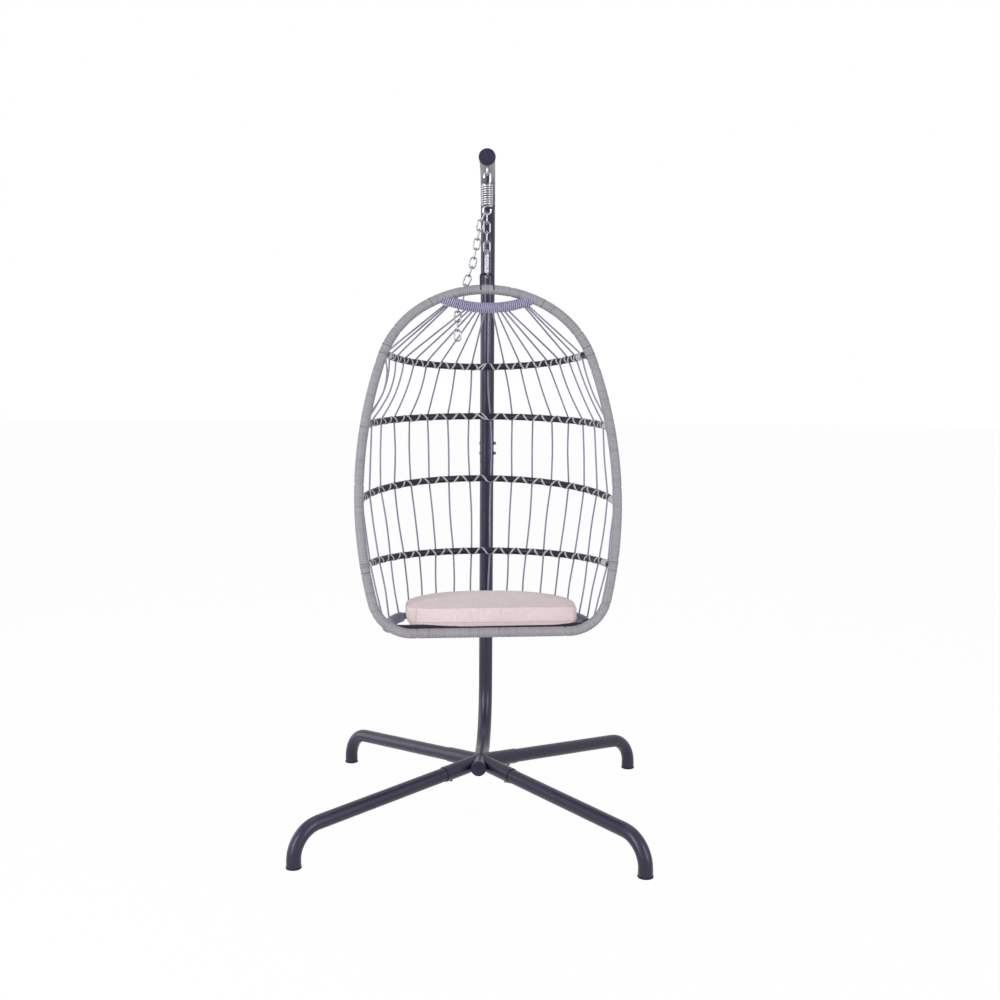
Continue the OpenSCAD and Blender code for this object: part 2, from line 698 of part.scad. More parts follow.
// Hoop i: a bent tube with flats slotted over the tabs at both ends
module hoop(i) color("#2d2c33")
    basket_frame() hoop_plane(i) {
        sweep = hoop_sweep(i);
        half = asin(hoop_end(i)[0] / sweep[0]);
        difference() {
            xy_arc(0, sweep[1], sweep[0], hoop_od, 90 - half, 2 * half);
            xy_arc(0, sweep[1], sweep[0], hoop_od - 2 * frame_wall, 90 - half - 1, 2 * half + 2);
            for (side = [-1, 1]) translate([side * hoop_end(i)[0], 0, 0]) {
                translate([-hoop_od, hoop_start - hoop_od, -tab_t / 2 - seat])
                    cube([2 * hoop_od, tab_back + 1 - hoop_start + hoop_od, tab_t + 2 * seat]);
                translate([0, tab_bolt_back, -hoop_od]) cylinder(d = bolt_hole, h = 2 * hoop_od);
            }
        }
    }

// Bolt down through a hoop: domed head above, nut below
module down_bolt() {
    translate([0, 0, -hoop_od / 2 - 6]) cylinder(d = bolt_d, h = hoop_od + 8);
    translate([0, 0, hoop_od / 2 + seat]) cylinder(d = 11, h = 3.2);
    translate([0, 0, -hoop_od / 2 - 5 - seat]) cylinder(d = 11.5, h = 5, $fn = 6);
}

module hoop_bolts() color("#56555c")
    basket_frame() for (i = [0 : 3], side = [-1, 1])
        hoop_plane(i) translate([side * hoop_end(i)[0], tab_bolt_back, 0])
            down_bolt();

// The top bar's arc between two turns either side of its lowest point
module bar_arc(d, turn)
    xz_arc(0, bar_low_z + bar_r, bar_r, d, -90 - turn, 2 * turn);

// The ends of the top bar's arc, as cutting tools at the ring
module bar_stub(d, past)
    for (side = [0, 1]) mirror([side, 0, 0])
        xz_arc(0, bar_low_z + bar_r, bar_r, d, -90 + bar_turn - past, past);

module top_bar() color("#2d2c33")
    basket_frame() difference() {
        bar_arc(hoop_od, bar_turn);
        bar_arc(hoop_od - 2 * frame_wall, bar_turn + 1);
        xz_arc(0, ring_top - RING_ARCS[0][0], RING_ARCS[0][0], ring_od + 2 * seat, 55, 70);
    }

// Radius of a rope's centre line wound on a tube, so that its flats stay clear
function winding_r(tube_d) = (tube_d / 2 + rope / 2 + soft) / cos(180 / winding_rings);

// Winding on the top bar: a helix carried along the bar's arc
bar_wound = bar_turn - bar_bare;
BAR_WINDING = [for (k = [0 : bar_loops * winding_rings])
    let (a = 360 * k / winding_rings,
        t = -bar_wound + 2 * bar_wound * k / (bar_loops * winding_rings),
        r = bar_r + winding_r(hoop_od) * cos(a))
    [r * sin(t), winding_r(hoop_od) * sin(a), bar_low_z + bar_r - r * cos(t)]];

module top_bar_winding() color("#9691b9")
    basket_frame() tube(BAR_WINDING, rope, 6, [1, 0, 0]);

// Seat plane: local origin in the middle of the front bar
module seat_plane() translate([0, seat_front, seat_z]) rotate([seat_rise, 0, 0]) children();
seat_leg = seat_depth - seat_half;

// The seat frame as a solid bar: front bar, corners, sides and round back
module seat_route(d) {
    translate([seat_corner - seat_half, 0, 0]) x_bar(d, 2 * (seat_half - seat_corner));
    for (side = [0, 1]) mirror([side, 0, 0]) {
        xy_arc(seat_half - seat_corner, seat_corner, seat_corner, d, -90, 90);
        translate([seat_half, seat_corner, 0]) y_bar(d, seat_leg - seat_corner);
    }
    xy_arc(0, seat_leg, seat_half, d, 0, 180);
}

module seat_frame() color("#2d2c33")
    basket_frame() seat_plane() difference() {
        seat_route(hoop_od);
        seat_route(hoop_od - 2 * frame_wall);
        rotate([-seat_rise, 0, 0]) for (side = [-1, 1])
            translate([side * seat_tab_x, 0, -hoop_od]) cylinder(d = bolt_hole, h = hoop_od);
    }

// Rods welded between the front bar and the round back, flush with the frame's top
module seat_rods() color("#2d2c33")
    basket_frame() seat_plane() difference() {
        for (x = SEAT_ROD_X) translate([x, 0, (hoop_od - seat_rod) / 2])
            y_bar(seat_rod, seat_leg + sqrt(seat_half * seat_half - x * x));
        seat_route(hoop_od + 2 * seat);
    }

// Bolts up through the two tabs into the seat frame's front bar
module seat_bolts() color("#56555c")
    basket_frame() for (side = [-1, 1])
        translate([side * seat_tab_x, seat_front, SEAT_TAB[1] - tab_t / 2]) {
            translate([0, 0, -1]) cylinder(d = bolt_d, h = 12);
            translate([0, 0, -4 - seat]) cylinder(d = 11, h = 4, $fn = 6);
        }

// Point at arc length s from the back of the seat frame, and the way out of its bend
seat_arc = seat_half * PI / 2;
function seat_angle(s) = s / seat_half * 180 / PI;
function seat_flat(s) = abs(s) < seat_arc
    ? [seat_half * sin(seat_angle(s)), seat_leg + seat_half * cos(seat_angle(s))]
    : [sign(s) * seat_half, seat_leg - abs(s) + seat_arc];
function seat_flat_out(s) = abs(s) < seat_arc
    ? [sin(seat_angle(s)), cos(seat_angle(s))]
    : [sign(s), 0];

// Winding on one side of the seat frame, from its front corner back
side_from = seat_arc + seat_leg - seat_corner - 1;
SIDE_WINDING = [for (k = [0 : side_loops * winding_rings])
    let (a = 360 * k / winding_rings,
        s = side_from - side_wound * k / (side_loops * winding_rings),
        at = seat_flat(s) + winding_r(hoop_od) * cos(a) * seat_flat_out(s))
    [at[0], at[1], winding_r(hoop_od) * sin(a)]];
echo(winding_self_gap = [self_gap(BAR_WINDING, winding_rings - 1, rope),
    self_gap(SIDE_WINDING, winding_rings - 1, rope)]);

module seat_winding(side) color("#9691b9")
    basket_frame() seat_plane() mirror([side, 0, 0]) tube(SIDE_WINDING, rope, 6, [0, 1, 0]);

// ------------------------------------------------------------------ ropes

// Where rope j lies between the outermost two, from -1 to 1
function share(j) = (2 * j - (rope_count - 1)) / (rope_count - 1);

// Point at angle a on hoop i, its outward direction and its tangent, in the basket's frame
function in_hoop(i, v) = [v[0], v[1] * cos(HOOPS[i][2]), v[1] * sin(HOOPS[i][2])];
function hoop_point(i, a) = let (sweep = hoop_sweep(i))
    in_hoop(i, [sweep[0] * sin(a), sweep[1] + sweep[0] * cos(a)]) + [0, 0, hoop_end(i)[1]];
function hoop_out(i, a) = in_hoop(i, [sin(a), cos(a)]);
function hoop_along(i, a) = in_hoop(i, [cos(a), -sin(a)]);

// The seat plane's points and directions in the basket's frame
function in_seat(v) = [v[0], v[1] * cos(seat_rise), v[1] * sin(seat_rise)];
function seat_point(s) = in_seat(seat_flat(s)) + [0, seat_front, seat_z];
seat_up = [0, -sin(seat_rise), cos(seat_rise)];

// Rope j on the top bar, from a point just behind the winding
half_ropes = rope_count / 2;
function lash_x(j) = let (k = min(j, rope_count - 1 - j))
    sign(share(j)) * (k < 3 ? lash_end + (2 - k) * lash_step
        : lash_inner * (half_ropes - k - 0.5) / (half_ropes - 3.5));
wound_od = 2 * winding_r(hoop_od) + rope;
function on_bar(x) = [x, 0, bar_low_z + bar_r - sqrt(bar_r * bar_r - x * x)];
function bar_rope(j) = let (p = on_bar(lash_x(j)), way = unit(bare(0, j) - p))
    p + unit([0, way[1], way[2]]) * (wound_od / 2 + soft + rope / 2 * abs(way[0]));

// Where rope j meets the seat frame, and its stand-off from the frame or its winding
function seat_s(j) = share(j) * seat_spread;
function seat_off(j) = rope / 2 + soft
    + (abs(seat_s(j)) > side_from - side_wound - rope ? wound_od / 2 : hoop_od / 2);

// Rope j hooks under the seat frame: its points at angles below the frame's outer side
seat_wrap = 45;
function seat_rope(j, a) = seat_point(seat_s(j))
    + (cos(a) * in_seat(seat_flat_out(seat_s(j))) - sin(a) * seat_up) * seat_off(j) / cos(seat_wrap / 2);

// Rope j behind hoop i: the bare hoop point, the way out of the bend, and the bend's angle
function bare(i, j) = hoop_point(i, share(j) * ROPE_SPREAD[i]);
function before(i, j) = i == 0 ? on_bar(lash_x(j)) : bare(i - 1, j);
function after(i, j) = i == 3 ? seat_point(seat_s(j)) : bare(i + 1, j);
function push(i, j) = let (p = bare(i, j), a = share(j) * ROPE_SPREAD[i],
        bend = unit(p - before(i, j)) + unit(p - after(i, j)) + 0.1 * hoop_out(i, a),
        along = hoop_along(i, a))
    unit(bend - (bend * along) * along);
function bend_angle(i, j) = let (p = bare(i, j))
    max(20, acos(unit(p - before(i, j)) * unit(after(i, j) - p)));

// The rope's three points round hoop i, each turned about the hoop's tangent
function hoop_rope(i, j) = let (out = push(i, j), along = hoop_along(i, share(j) * ROPE_SPREAD[i]),
        down = cross(out, along), turn = bend_angle(i, j) / 3,
        off = ((hoop_od + rope) / 2 + soft) / cos(turn / 2))
    [for (k = [-1 : 1]) bare(i, j) + (cos(k * turn) * out + sin(k * turn) * down) * off];

// Slack of rope j between hoop i - 1 and hoop i: a sideways wave, and on the outer ropes
// below the first hoop an inward sag
wave = 3;
sag = 15;
LONG_SPAN = [0.25, 0.55, 0.8];
SHORT_SPAN = [0.5];
function slack(a, b, j, i, t) = a + (b - a) * t + sin(180 * t)
    * [wave * sin(137 * (j + i)) - (i == 1 ? sag * pow(abs(share(j)), 2) * sign(share(j)) : 0), 0, 0];
function rope_route(j) = let (turns = [for (i = [0 : 3]) hoop_rope(i, j)])
    concat([bar_rope(j)],
        [for (i = [0 : 3]) each concat(
            i == 0 ? [] : [for (t = i == 1 ? LONG_SPAN : SHORT_SPAN)
                slack(turns[i - 1][2], turns[i][0], j, i, t)], turns[i])],
        [slack(turns[3][2], seat_rope(j, 0), j, 4, 0.5)],
        [for (k = [0 : 2]) seat_rope(j, k * seat_wrap)]);

module back_ropes() color("#9691b9")
    basket_frame() for (j = [0 : rope_count - 1]) tube(rope_route(j), rope, 6, [1, 0, 0]);

// ---------------------------------------------------------------- cushion

// Outline of the cushion: square at the front, round at the back
cushion_front = 90;
cushion_sides = 48;
function power(v, e) = sign(v) * pow(abs(v), e);
function cushion_edge(a) = sin(a) < 0
    ? [cushion_w / 2 * power(cos(a), 0.28), cushion_front * power(sin(a), 0.28)]
    : [cushion_w / 2 * power(cos(a), 0.85), (cushion_d - cushion_front) * power(sin(a), 0.85)];

// Layers of the cushion: [height, scale of the outline]
CUSHION_LAYERS = [[0, 0.9], [0.03, 0.965], [0.12, 0.99], [0.3, 1], [0.5, 0.992], [0.72, 1],
    [0.88, 0.985], [0.97, 0.955], [1.02, 0.88], [1.1, 0.7], [1.17, 0.45], [1.2, 0.2]];
function layer_z(h) = h <= 1 ? h * cushion_h : cushion_h + (h - 1) * cushion_crown / 0.2;

module cushion() color("#d9c9c6")
    basket_frame() seat_plane()
        translate([cushion_side, cushion_front - 6, hoop_od / 2 + soft]) cushion_form();

module cushion_form() {
    n = cushion_sides;
    last = len(CUSHION_LAYERS) - 1;
    skin = [for (layer = CUSHION_LAYERS, k = [0 : n - 1])
        let (edge = cushion_edge(360 * (k + 0.5) / n) * layer[1]) [edge[0], edge[1], layer_z(layer[0])]];
    walls = [for (i = [0 : last - 1], k = [0 : n - 1])
        let (a = i * n + k, b = i * n + (k + 1) % n)
        each [[a, b + n, b], [a, a + n, b + n]]];
    caps = [for (k = [1 : n - 2]) each [[0, k, k + 1],
        [last * n, last * n + k + 1, last * n + k]]];
    polyhedron(points = skin, faces = concat(walls, caps), convexity = 4);
}

// Places that other files need, in the part's own frame
echo(hub_z = hub_z, eye_z = eye_z, coil_top_z = coil_top_z, coil_bottom_z = coil_bottom_z,
    hook_low_z = hook_low_z, link_top_z = link_top_z, clip_top_z = clip_top_z,
    clip_low_z = clip_low_z, loop_z = loop_z, gate_pin_z = gate_low_z + 1.5);

lower_pole();
stub_cap();
leg(LEG_TURNS[0]);  // leg_front_left
leg(LEG_TURNS[1]);  // leg_front_right
leg(LEG_TURNS[2]);  // leg_back_left
leg(LEG_TURNS[3]);  // leg_back_right
foot_cap(LEG_TURNS[0]);  // foot_cap_front_left
foot_cap(LEG_TURNS[1]);  // foot_cap_front_right
foot_cap(LEG_TURNS[2]);  // foot_cap_back_left
foot_cap(LEG_TURNS[3]);  // foot_cap_back_right
leg_bolts();
upper_pole();
pole_bolts();
arm_cap();
hanger_eye();
spring_top_hook();
spring_coil();
spring_bottom_hook();
first_links();
main_chain();
spare_chain();
carabiner_body();
gate_pin();
carabiner_gate();
ring_tube();
ring_wicker();
hanger_loop();
hoop_tabs();
hoop(0);  // hoop_1
hoop(1);  // hoop_2
hoop(2);  // hoop_3
hoop(3);  // hoop_4
hoop_bolts();
top_bar();
top_bar_winding();
seat_frame();
seat_winding(1);  // seat_winding_left
seat_winding(0);  // seat_winding_right
seat_rods();
seat_bolts();
back_ropes();
spare_chain_end();
cushion();
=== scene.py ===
# Looks of a hanging egg chair: wound wicker, slack ropes, zinc hardware and a linen cushion,
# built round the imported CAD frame. Lengths are in metres.
import math
import bpy
import numpy as np
from mathutils import Matrix, Vector

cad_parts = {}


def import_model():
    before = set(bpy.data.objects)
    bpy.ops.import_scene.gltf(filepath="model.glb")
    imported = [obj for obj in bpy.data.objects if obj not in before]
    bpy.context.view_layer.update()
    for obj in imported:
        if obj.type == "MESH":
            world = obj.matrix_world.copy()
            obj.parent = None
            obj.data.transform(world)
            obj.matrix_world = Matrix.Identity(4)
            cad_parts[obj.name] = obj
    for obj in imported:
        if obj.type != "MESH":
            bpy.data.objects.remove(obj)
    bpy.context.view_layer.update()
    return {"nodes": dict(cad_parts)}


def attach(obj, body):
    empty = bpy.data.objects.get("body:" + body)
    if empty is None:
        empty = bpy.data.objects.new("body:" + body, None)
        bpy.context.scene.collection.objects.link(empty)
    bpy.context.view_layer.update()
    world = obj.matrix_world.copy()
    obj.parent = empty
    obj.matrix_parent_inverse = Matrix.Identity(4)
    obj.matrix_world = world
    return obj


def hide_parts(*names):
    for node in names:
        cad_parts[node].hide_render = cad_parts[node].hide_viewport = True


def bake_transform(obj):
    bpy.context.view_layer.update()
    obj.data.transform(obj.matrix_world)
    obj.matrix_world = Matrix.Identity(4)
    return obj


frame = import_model()

# ------------------------------------------------------------------ dimensions

# Hanging line: the arm turns about the pole, the eye is this far in front of it
POLE_BACK = 0.250
HANG_REACH = 0.390
ARM_TURN = math.radians(3)

# Pole, its joint and the two bolts through it
POLE = 0.043
POLE_JOINT = 1.031
BOLT_RISES = [0.028, 0.059]

# Profiles of the bolts and of the dark band that paints the shade in the gap at the joint: (distance
# out from the pole's side, radius), and for the band (height from the joint, radius over the pole's)
BUTTON_HEAD = [(0.0017, 0.001), (0.0016, 0.0034), (0.0011, 0.0054), (0.0003, 0.0062),
               (-0.0015, 0.0062), (-0.0015, 0.004)]
BOLT_END = (0.0045, 0.0036)
CAP_NUT = [(0.0002, 0.0054), (0.0006, 0.006), (0.0039, 0.006), (0.0044, 0.0052)]
DOME_START = 0.0043
DOME_HEIGHT = 0.0034
DOME_RADIUS = 0.0042
JOINT_SHADE_BAND = [(-0.0012, -0.0008), (-0.0011, 0.0002), (0.0011, 0.0002), (0.0012, -0.0008)]

# Spring
SPRING_WIRE = 0.0054
COIL_RADIUS = 0.0138
COIL_TURNS = 9
COIL_TOP = 1.8184
COIL_BOTTOM = 1.7635

# Basket: its own frame has the loop's top bar at the origin and the ring in XZ
LOOP_HEIGHT = 1.5774
BASKET_TURN = math.radians(6)
BASKET_LEAN = math.radians(10.2)

# Ring: radius and degrees of each arc of its right half, from the top down
RING_ARCS = [(0.335, 32), (0.268, 39), (1.172, 33), (0.110, 76)]
RING_TOP = -0.043
RING_WRAP = 0.0134

# Wicker: height of a strand over its edge at each point across it, and how a strand dips where it
# ends under the next one, at these shares of the ring's length
STRAND_CROWN = [0.0, 0.0007, 0.0009, 0.0007]
STRAND_TURN = 0.084
WRAP_JOINS = [0.024, 0.103, 0.142, 0.262, 0.331, 0.376, 0.428, 0.492, 0.571, 0.618, 0.655, 0.742,
              0.861, 0.899, 0.976]
JOIN_LENGTH = 0.0022
JOIN_DIP = 0.0016

# Dark seams of the wicker: degrees from the top beside the bar, and distances beside hoops 1 and 4
SEAM_HEADING = 27.5
SEAM_GAPS = (-0.013, 0.011)
SEAM_SECTION = (0.0016, 0.0009)
STRAP_SECTION = (0.0036, 0.0024)

# Hoops: degrees from the ring's top to their ends, depth behind the ring, and degrees of rise.
# HOOP_TUBE is the radius of the hoops, the top bar and the seat frame
HOOPS = [(66.5, 0.282, 1.5), (80.7, 0.335, 13.5), (91.0, 0.352, 17.0), (99.5, 0.346, 10.0)]
HOOP_TUBE = 0.0095
HOOP_START = 0.0214

# Ropes: degrees from each hoop's middle to the outermost rope, how they bunch towards the hoop's
# ends, and the shift of the middle ones to the right. These follow the photograph: the frame's own
# ropes lie evenly, over 66 degrees on hoop 1
ROPE_SPREAD = [71, 80, 80, 77]
ROPE_BUNCH = [0.14, 0.14, 0.06, 0]
ROPE_SHIFT = 0.015
ROPE = 0.005
ROPE_COUNT = 18
SOFT_GAP = 0.0004

# Slack: the ropes' sideways wave, and the degrees by which it differs from rope to rope
ROPE_WAVE = 0.003
WAVE_STEP = 137
# Inward sag of the outermost ropes below hoop 1, on the left and on the right
ROPE_SAG = (0.028, 0.008)
LONG_SPAN = (0.25, 0.55, 0.8)
SHORT_SPAN = (0.5,)

# Top bar: half its span and its sag. Seat frame: half its width, depth, rise, corner radius, and
# the length from the middle of its back to the outermost rope
BAR_HALF = 0.128
BAR_SAG = 0.026
SEAT_HALF = 0.272
SEAT_DEPTH = 0.316
SEAT_RISE = math.radians(9)
SEAT_CORNER = 0.040
SEAT_SPREAD = 0.420

# Lashings on the top bar: three close together at each end, the rest within a half width
LASH_GROUP = 3
LASH_END = 0.106
LASH_STEP = 0.0058
LASH_INNER = 0.060

# Degrees of a rope's least turn round a hoop, and of each step of its turn under the seat frame
LEAST_TURN = 20
SEAT_STEP = 45

# Windings: gap to the tube, the bar's bare end, and on each side of the seat the length that is
# wound and its distance from the front corner's bend
WINDING_GAP = 0.0002
BAR_BARE = math.radians(1.2)
SIDE_WOUND = 0.145
SIDE_INSET = 0.001

# Lacing on the hoops: section, pitch of its close turns, their number at each end of each hoop,
# and the rolls between which it zigzags. Roll 0 faces the sitter, 90 is the top
LACE_WIDTH = 0.0058
LACE_THICKNESS = 0.0014
LACE_PITCH = 0.0055
LACE_GAP = 0.3
LACE_END_TURNS = [6, 6, 9, 7]
LACE_ROLLS = (-115, 105)

# Cushion
CUSHION = (0.486, 0.312, 0.050)
CUSHION_SIDE = 0.008
CUSHION_CROWN = 0.012
CUSHION_FRONT = 0.090
CUSHION_BACK_SHIFT = 0.006

# Exponents of its outline: the front's left and right corners, and the round back
FRONT_CORNERS = (0.42, 0.2)
BACK_ROUND = 0.92

# Its form: (share of the height, share of the outline) up the walls and over the crown
CUSHION_WALLS = [(0.0, 0.93), (0.05, 0.975), (0.14, 0.99), (0.3, 1.0), (0.7, 1.0), (0.88, 0.993),
                 (0.98, 0.975)]
CUSHION_TOP = [(0.1, 0.945), (0.4, 0.75), (0.8, 0.45), (1.0, 0.2)]
WALL_SHARE = 0.94
TOP_SHARE = 0.6
OUTLINE_SHARE = 0.965

# Seams of its cover: distance from the edges, share of the outline, and width and thickness
SEAM_INSET = 0.004
SEAM_OUTLINE = 0.96
WELT_SECTION = (0.0016, 0.0014)

# Camera: place, and turn, tilt and roll in degrees
CAMERA_PLACE = (0.234, -3.677, 1.307)
CAMERA_TURN = 2.80
CAMERA_TILT = 84.28
CAMERA_ROLL = 0.37
SENSOR = 36
LENS = 45.72
CLIP_END = 60

# Softboxes: name, place, what they aim at, size, and power in watts
SOFTBOXES = [
    ("key", (-2.4, -3.0, 1.8), (0, 0, 1.0), (0.9, 2.6), 100),
    ("fill", (2.8, -2.4, 1.7), (0, 0, 0.9), (1.2, 2.6), 66),
    ("side", (-3.3, 0.9, 1.2), (0, 0, 0.9), (1.6, 2.4), 26),
    ("top", (0, 0.4, 3.4), (0, 0, 1.0), (2.2, 2.2), 16),
]

# Floor and world: the floor is this white where it is seen, under the object's shadow
FLOOR_HALF = 30
FLOOR_DROP = 0.0005
FLOOR_GREY = 0.85
FLOOR_ROUGHNESS = 0.9
FLOOR_WHITE = 0.97
WORLD_STRENGTH = 0.42


def turned(axis, angle):
    return np.array(Matrix.Rotation(angle, 3, axis))


HANG = np.array([0, POLE_BACK, 0]) + turned("Z", ARM_TURN) @ np.array([0, -HANG_REACH, 0])
BASKET_AXES = turned("Z", ARM_TURN + BASKET_TURN) @ turned("X", -BASKET_LEAN)
BASKET_ORIGIN = HANG + np.array([0, 0, LOOP_HEIGHT])


def in_basket(points):
    """Points of the basket's frame, in the scene's frame."""
    return np.asarray(points, float) @ BASKET_AXES.T + BASKET_ORIGIN


def in_arm(points):
    """Points of the frame that turns with the arm, in the scene's frame."""
    return np.asarray(points, float) @ turned("Z", ARM_TURN).T + np.array([0, POLE_BACK, 0])


def unit(v):
    v = np.asarray(v, float)
    return v / np.linalg.norm(v, axis=-1, keepdims=True)


# ------------------------------------------------------------------ mesh helpers

def add_mesh(name, points, faces, uvs=None, smooth=True):
    """A mesh object. uvs holds a (u, v) pair for each corner of each face, in order."""
    mesh = bpy.data.meshes.new(name)
    mesh.from_pydata([tuple(p) for p in points], [], [tuple(f) for f in faces])
    if uvs is not None:
        layer = mesh.uv_layers.new(name="along")
        layer.data.foreach_set("uv", np.asarray(uvs, np.float32).ravel())
    mesh.polygons.foreach_set("use_smooth", [smooth] * len(mesh.polygons))
    mesh.update()
    piece = bpy.data.objects.new(name, mesh)
    bpy.context.collection.objects.link(piece)
    return piece


def run_along(points):
    """Length along a polyline from its first point to each of its points."""
    return np.concatenate([[0], np.cumsum(np.linalg.norm(np.diff(points, axis=0), axis=1))])


def resample(points, step):
    """The same polyline, with points about a step apart."""
    points = np.asarray(points, float)
    run = run_along(points)
    count = max(2, int(round(run[-1] / step)) + 1)
    at = np.linspace(0, run[-1], count)
    return np.stack([np.interp(at, run, points[:, k]) for k in range(3)], axis=1)


def smooth_route(points, step):
    """A Catmull-Rom curve through the points, sampled about a step apart."""
    p = np.asarray(points, float)
    p = np.vstack([2 * p[0] - p[1], p, 2 * p[-1] - p[-2]])
    out = []
    for a, b, c, d in zip(p[:-3], p[1:-2], p[2:-1], p[3:]):
        knots = np.cumsum([0] + [np.linalg.norm(q - r) ** 0.5 for q, r in ((b, a), (c, b), (d, c))])
        for t in np.linspace(knots[1], knots[2], 12, endpoint=False):
            ab = (a * (knots[1] - t) + b * (t - knots[0])) / (knots[1] - knots[0])
            bc = (b * (knots[2] - t) + c * (t - knots[1])) / (knots[2] - knots[1])
            cd = (c * (knots[3] - t) + d * (t - knots[2])) / (knots[3] - knots[2])
            abc = (ab * (knots[2] - t) + bc * (t - knots[0])) / (knots[2] - knots[0])
            bcd = (bc * (knots[3] - t) + cd * (t - knots[1])) / (knots[3] - knots[1])
            out.append((abc * (knots[2] - t) + bcd * (t - knots[1])) / (knots[2] - knots[1]))
    out.append(p[-2])
    return resample(out, step)


def frames_along(route, outward=None):
    """Two directions square to a route and each other; the first follows outward if given."""
    heads = unit(np.gradient(route, axis=0))
    side = np.zeros_like(heads)
    ref = np.array([1.0, 0, 0]) if abs(heads[0][0]) < 0.9 else np.array([0, 1.0, 0])
    for i, head in enumerate(heads):
        want = outward[i] if outward is not None else ref
        ref = unit(want - (want @ head) * head)
        side[i] = ref
    return side, np.cross(heads, side)


def tube_faces(rows, sides):
    """Quads between rows of points, and a flat face at each end."""
    faces = []
    for i in range(rows - 1):
        for k in range(sides):
            n = (k + 1) % sides
            faces.append((i * sides + k, i * sides + n, (i + 1) * sides + n, (i + 1) * sides + k))
    last = (rows - 1) * sides
    faces.append(tuple(range(sides))[::-1])
    faces.append(tuple(range(last, last + sides)))
    return faces


def sweep(route, width, thickness, sides, outward=None):
    """Points, faces and corner uvs (length, share round) of a tube or strip along a route."""
    side, flat = frames_along(route, outward)
    turn = np.arange(sides) * 2 * math.pi / sides
    ring = (side[:, None] * (np.cos(turn) * thickness / 2)[None, :, None]
            + flat[:, None] * (np.sin(turn) * width / 2)[None, :, None])
    points = (route[:, None] + ring).reshape(-1, 3)
    run = run_along(route)
    uvs = []
    for i in range(len(route) - 1):
        for k in range(sides):
            for row, col in ((i, k), (i, k + 1), (i + 1, k + 1), (i + 1, k)):
                uvs.append((run[row], col / sides))
    for length in (0, run[-1]):
        uvs += [(length, k / sides) for k in range(sides)]
    return points, tube_faces(len(route), sides), uvs


def revolve(profile, sides, centre, axis="X"):
    """Points, faces and corner uvs of a round or many-sided solid: (place along, radius) pairs."""
    turn = np.arange(sides) * 2 * math.pi / sides
    rings = np.array([[(x, r * math.cos(a), r * math.sin(a)) for a in turn] for x, r in profile])
    points = rings.reshape(-1, 3)
    if axis == "Z":
        points = points[:, [1, 2, 0]]
    faces = tube_faces(len(profile), sides)
    uvs = [(0, 0)] * sum(len(face) for face in faces)
    return points + np.array(centre), faces, uvs


def merge_sweeps(name, sweeps, smooth=True):
    """Several swept tubes as one piece."""
    points, faces, uvs = [], [], []
    for some_points, some_faces, some_uvs in sweeps:
        base = len(points)
        points.extend(some_points)
        faces.extend([tuple(base + v for v in f) for f in some_faces])
        uvs.extend(some_uvs)
    return add_mesh(name, points, faces, uvs, smooth)


# ------------------------------------------------------------------ material helpers

class Nodes:
    """A material's node tree, written one call per node."""

    def __init__(self, name):
        self.material = bpy.data.materials.new(name)
        self.material.use_nodes = True
        self.tree = self.material.node_tree
        self.shader = self.tree.nodes["Principled BSDF"]

    def link(self, value, socket):
        if isinstance(value, bpy.types.NodeSocket):
            self.tree.links.new(value, socket)
        else:
            socket.default_value = value

    def add(self, kind, inputs=(), out=0, **settings):
        node = self.tree.nodes.new(kind)
        for key, value in settings.items():
            setattr(node, key, value)
        for key, value in dict(inputs).items():
            self.link(value, node.inputs[key])
        return node.outputs[out]

    def math(self, operation, a, b=0.0):
        return self.add("ShaderNodeMath", {0: a, 1: b}, operation=operation)

    def coords(self, which="Object"):
        node = self.tree.nodes.new("ShaderNodeTexCoord")
        return node.outputs[which]

    def split(self, vector):
        node = self.tree.nodes.new("ShaderNodeSeparateXYZ")
        self.tree.links.new(vector, node.inputs[0])
        return node.outputs

    def stretch(self, vector, scale):
        return self.add("ShaderNodeMapping", {"Vector": vector, "Scale": scale})

    def noise(self, vector, scale, detail=3.0, rough=0.5):
        return self.add("ShaderNodeTexNoise",
                        {"Vector": vector, "Scale": scale, "Detail": detail, "Roughness": rough})

    def ramp(self, value, low, high, to_low=0.0, to_high=1.0):
        return self.add("ShaderNodeMapRange", {"Value": value, "From Min": low, "From Max": high,
                                               "To Min": to_low, "To Max": to_high})

    def blend(self, share, a, b):
        node = self.tree.nodes.new("ShaderNodeMix")
        node.data_type = "RGBA"
        self.link(share, node.inputs[0])
        self.link(a, node.inputs[6])
        self.link(b, node.inputs[7])
        return node.outputs[2]

    def bump(self, height, strength, distance, under=None):
        inputs = {"Height": height, "Strength": strength, "Distance": distance}
        if under is not None:
            inputs["Normal"] = under
        return self.add("ShaderNodeBump", inputs)

    def finish(self, colour, roughness, normal=None, **constants):
        self.link(colour, self.shader.inputs["Base Color"])
        self.link(roughness, self.shader.inputs["Roughness"])
        if normal is not None:
            self.link(normal, self.shader.inputs["Normal"])
        for key, value in constants.items():
            self.shader.inputs[key.replace("_", " ")].default_value = value
        return self.material


def rgb(red, green, blue):
    """A colour from its sRGB numbers, 0 to 255."""
    return tuple(((c / 255 + 0.055) / 1.055) ** 2.4 if c > 10 else c / 255 / 12.92
                 for c in (red, green, blue)) + (1.0,)


COOL_TINT = (0.8, 0.8, 1.0, 1.0)
# Painted shade for the grooves between wicker strands.
GROOVE_SHADE = rgb(52, 50, 58)
# Painted shade for the sides and inner side of a wound rope's turns.
VALLEY_SHADE = rgb(62, 58, 84)


